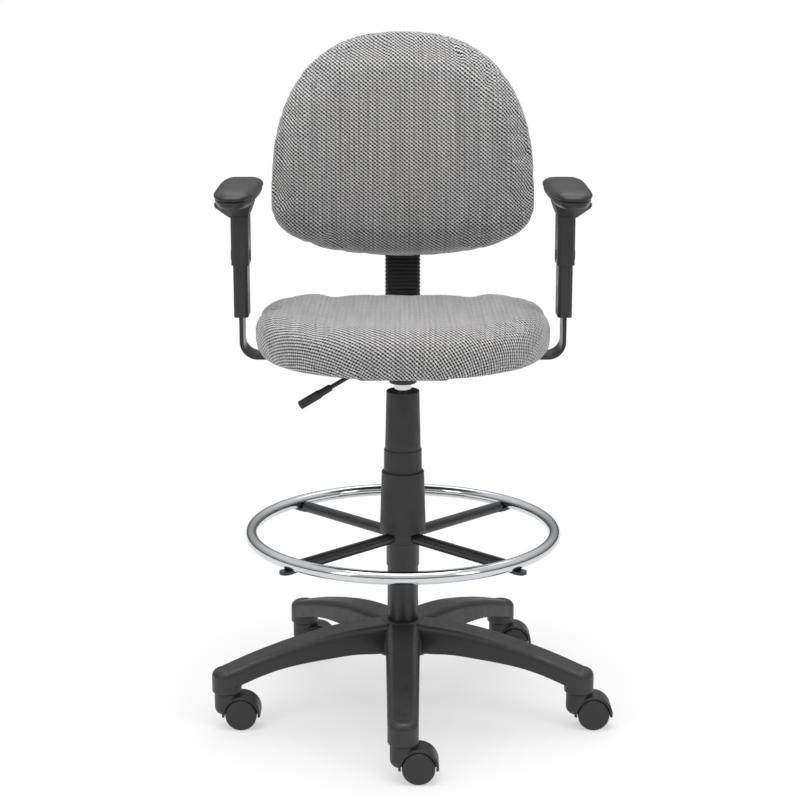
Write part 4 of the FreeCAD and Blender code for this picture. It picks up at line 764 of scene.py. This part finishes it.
def arm_pad(side, materials):
    node = "arm_pad_" + side
    low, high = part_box(node)
    half = (high.x - low.x) / 2
    rings = []

    def ring(outline, z):
        return np.stack([outline[:, 0], outline[:, 1], np.full(len(outline), z)], 1)

    def tapered(z, y):
        """The pad thins a little to the rear and its front edge rolls down."""
        share = (y - low.y) / (high.y - low.y)
        roll = 5 * MM * smooth_step(0.1 - share, 0.0, 0.14) + 5 * MM * smooth_step(share, 0.9, 1.05)
        return z - np.maximum(0, (z - low.z) / (high.z - low.z)) * roll

    base = pad_outline(low, high, half - PAD_NARROWING, half, PAD_SIDE[0][1] * MM)
    centre = base.mean(0)
    for share in (0.25, 0.55, 0.85):
        rings.append(ring(centre + (base - centre) * share, low.z))
    for z, draw in PAD_SIDE:
        rings.append(ring(pad_outline(low, high, half - PAD_NARROWING, half, draw * MM), low.z + z * MM))
    last = pad_outline(low, high, half - PAD_NARROWING, half, PAD_SIDE[-1][1] * MM)
    for share in (0.88, 0.72, 0.52, 0.3, 0.12):
        crown = PAD_CROWN * (1 - share * share)
        rings.append(ring(centre + (last - centre) * share, low.z + PAD_SIDE[-1][0] * MM + crown))
    pad = ring_form("arm_pad_skin_" + side, rings)
    points = coordinates_of(pad.data)
    points[:, 2] = tapered(points[:, 2], points[:, 1])
    set_coordinates(pad.data, points)
    subdivide(pad, 2)
    pad.data.materials.append(materials["arm_pad_skin"])
    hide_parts(node)
    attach(pad, "arm_rest_" + side)


# ================================================================ bellows
BELLOWS_RIBS = 19
RIB_DEPTH = 3.4 * MM
BOOT_WALL = 1.4 * MM
BOOT_CORNER = 8.0 * MM


def rounded_rectangle(half_x, half_y, radius, count=13):
    points = []
    for x_side, y_side, start in ((1, 1, 0), (-1, 1, 90), (-1, -1, 180), (1, -1, 270)):
        for angle in np.radians(np.linspace(start, start + 90, count)):
            points.append((x_side * (half_x - radius) + radius * math.cos(angle),
                           y_side * (half_y - radius) + radius * math.sin(angle)))
    return np.array(points)


def bellows(materials):
    """A ribbed boot, open inside for the bar, with a plain collar at each end."""
    low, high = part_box("bellows")
    middle_y = (low.y + high.y) / 2
    half_x = (high.x - low.x) / 2
    half_y = (high.y - low.y) / 2
    pitch = (high.z - low.z) / BELLOWS_RIBS
    steps = 8
    outer = []
    inner = []
    for index in range(BELLOWS_RIBS * steps + 1):
        z = low.z + index * pitch / steps
        phase = (index % steps) / steps
        fold = abs(math.sin(math.pi * phase)) ** 0.7
        draw = RIB_DEPTH * (1 - fold)
        if index < steps / 2 or index > (BELLOWS_RIBS - 0.5) * steps:
            draw = 0.6 * MM
        for rings, wall in ((outer, 0.0), (inner, BOOT_WALL)):
            flat = rounded_rectangle(half_x - draw - wall, half_y - draw - wall, BOOT_CORNER - draw - wall)
            ring = np.stack([flat[:, 0], middle_y + flat[:, 1], np.full(len(flat), z)], 1)
            rings.append(ring)
    boot = tube_form("bellows_boot", outer + inner[::-1])
    boot.data.materials.append(materials["boot_rubber"])
    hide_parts("bellows")
    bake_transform(boot)


def tube_form(name, rings):
    """A closed skin through a loop of rings, as for a hollow sleeve."""
    count = len(rings[0])
    points = [tuple(map(float, p)) for ring in rings for p in ring]
    faces = []
    for level in range(len(rings)):
        start = level * count
        following = (level + 1) % len(rings) * count
        for i in range(count):
            j = (i + 1) % count
            faces.append((start + i, start + j, following + j, following + i))
    mesh = bpy.data.meshes.new(name)
    mesh.from_pydata(points, [], faces)
    made = bpy.data.objects.new(name, mesh)
    scene.collection.objects.link(made)
    tidy_normals(made)
    return made


# ================================================================ studio
CAMERA_PLACE = (-0.0046, -2.814, 1.156)
CAMERA_TILT = 77.16         # degrees from straight down
CAMERA_LENS = 81.7          # millimetres, on a 36 mm sensor


def camera():
    data = bpy.data.cameras.new("camera")
    data.lens = CAMERA_LENS
    data.sensor_width = 36.0
    made = bpy.data.objects.new("camera", data)
    made.location = CAMERA_PLACE
    made.rotation_euler = (math.radians(CAMERA_TILT), 0, 0)
    scene.collection.objects.link(made)
    scene.camera = made


def soft_box(name, place, aim, size, power):
    data = bpy.data.lights.new(name, "AREA")
    data.shape = "RECTANGLE"
    data.size, data.size_y = size
    data.energy = power
    made = bpy.data.objects.new(name, data)
    made.location = place
    made.rotation_euler = (Vector(aim) - Vector(place)).to_track_quat("-Z", "Y").to_euler()
    scene.collection.objects.link(made)


def floor():
    """A white sweep that glows: at half strength near the chair, a painted light that lightens the cast shadow
    there, and fully white further out.
    """
    bpy.ops.mesh.primitive_circle_add(vertices=96, radius=14, fill_type="NGON")
    made = bpy.context.active_object
    made.name = "studio_floor"
    n = Nodes("studio_floor")
    place = n.coordinates()
    n.finish(n.mixed(n.noise(place, 0.8), grey(0.9), grey(0.93)), 0.85, Specular_IOR_Level=0.1)
    distance = n.add("ShaderNodeVectorMath", operation="LENGTH")
    n.link(place, distance.inputs[0])
    glow = n.add("ShaderNodeEmission")
    blend = n.add("ShaderNodeMixShader")
    # painted light: half emission even beside the chair, so the cast shadow there is painted lighter
    n.link(n.spread(distance.outputs["Value"], 0.35, 1.6, 0.5, 1.0, smooth=True), blend.inputs[0])
    n.link(n.shader.outputs[0], blend.inputs[1])
    n.link(glow.outputs[0], blend.inputs[2])
    n.link(blend.outputs[0], n.tree.nodes["Material Output"].inputs["Surface"])
    made.data.materials.append(n.material)


def world():
    """White to the camera; what lights the chair is a soft tent, dark near the horizon."""
    made = bpy.data.worlds.new("studio")
    scene.world = made
    made.use_nodes = True
    tree = made.node_tree
    tent = tree.nodes["Background"]
    place = tree.nodes.new("ShaderNodeTexCoord")
    parts = tree.nodes.new("ShaderNodeSeparateXYZ")
    ramp = tree.nodes.new("ShaderNodeMapRange")
    ramp.inputs["From Min"].default_value = 0.06
    ramp.inputs["From Max"].default_value = 0.6
    ramp.inputs["To Min"].default_value = 0.1
    ramp.inputs["To Max"].default_value = 0.85
    tree.links.new(place.outputs["Generated"], parts.inputs[0])
    tree.links.new(parts.outputs["Z"], ramp.inputs["Value"])
    tree.links.new(ramp.outputs["Result"], tent.inputs["Strength"])
    white = tree.nodes.new("ShaderNodeBackground")
    path = tree.nodes.new("ShaderNodeLightPath")
    pick = tree.nodes.new("ShaderNodeMixShader")
    tree.links.new(path.outputs["Is Camera Ray"], pick.inputs["Fac"])
    tree.links.new(tent.outputs["Background"], pick.inputs[1])
    tree.links.new(white.outputs["Background"], pick.inputs[2])
    tree.links.new(pick.outputs["Shader"], tree.nodes["World Output"].inputs["Surface"])
    tent.inputs["Color"].default_value = (1, 1, 1, 1)
    white.inputs["Color"].default_value = (1, 1, 1, 1)


def studio():
    camera()
    floor()
    world()
    middle = (0, 0, 0.6)
    soft_box("overhead", (0, -0.4, 3.0), middle, (2.2, 1.8), 42)
    soft_box("front_left", (-2.3, -2.4, 2.1), middle, (0.9, 2.0), 12)
    soft_box("front_right", (2.4, -2.2, 1.9), middle, (0.8, 1.8), 9)
    soft_box("behind", (0.3, 1.5, 3.0), middle, (2.4, 1.2), 14)
    scene.view_settings.view_transform = "Standard"


# ================================================================ the chair
studio()
made_materials = slot_materials()
paint_frame(made_materials)
seat_cushion(made_materials)
back_cushion(made_materials)
for hand in ("left", "right"):
    arm_pad(hand, made_materials)
bellows(made_materials)
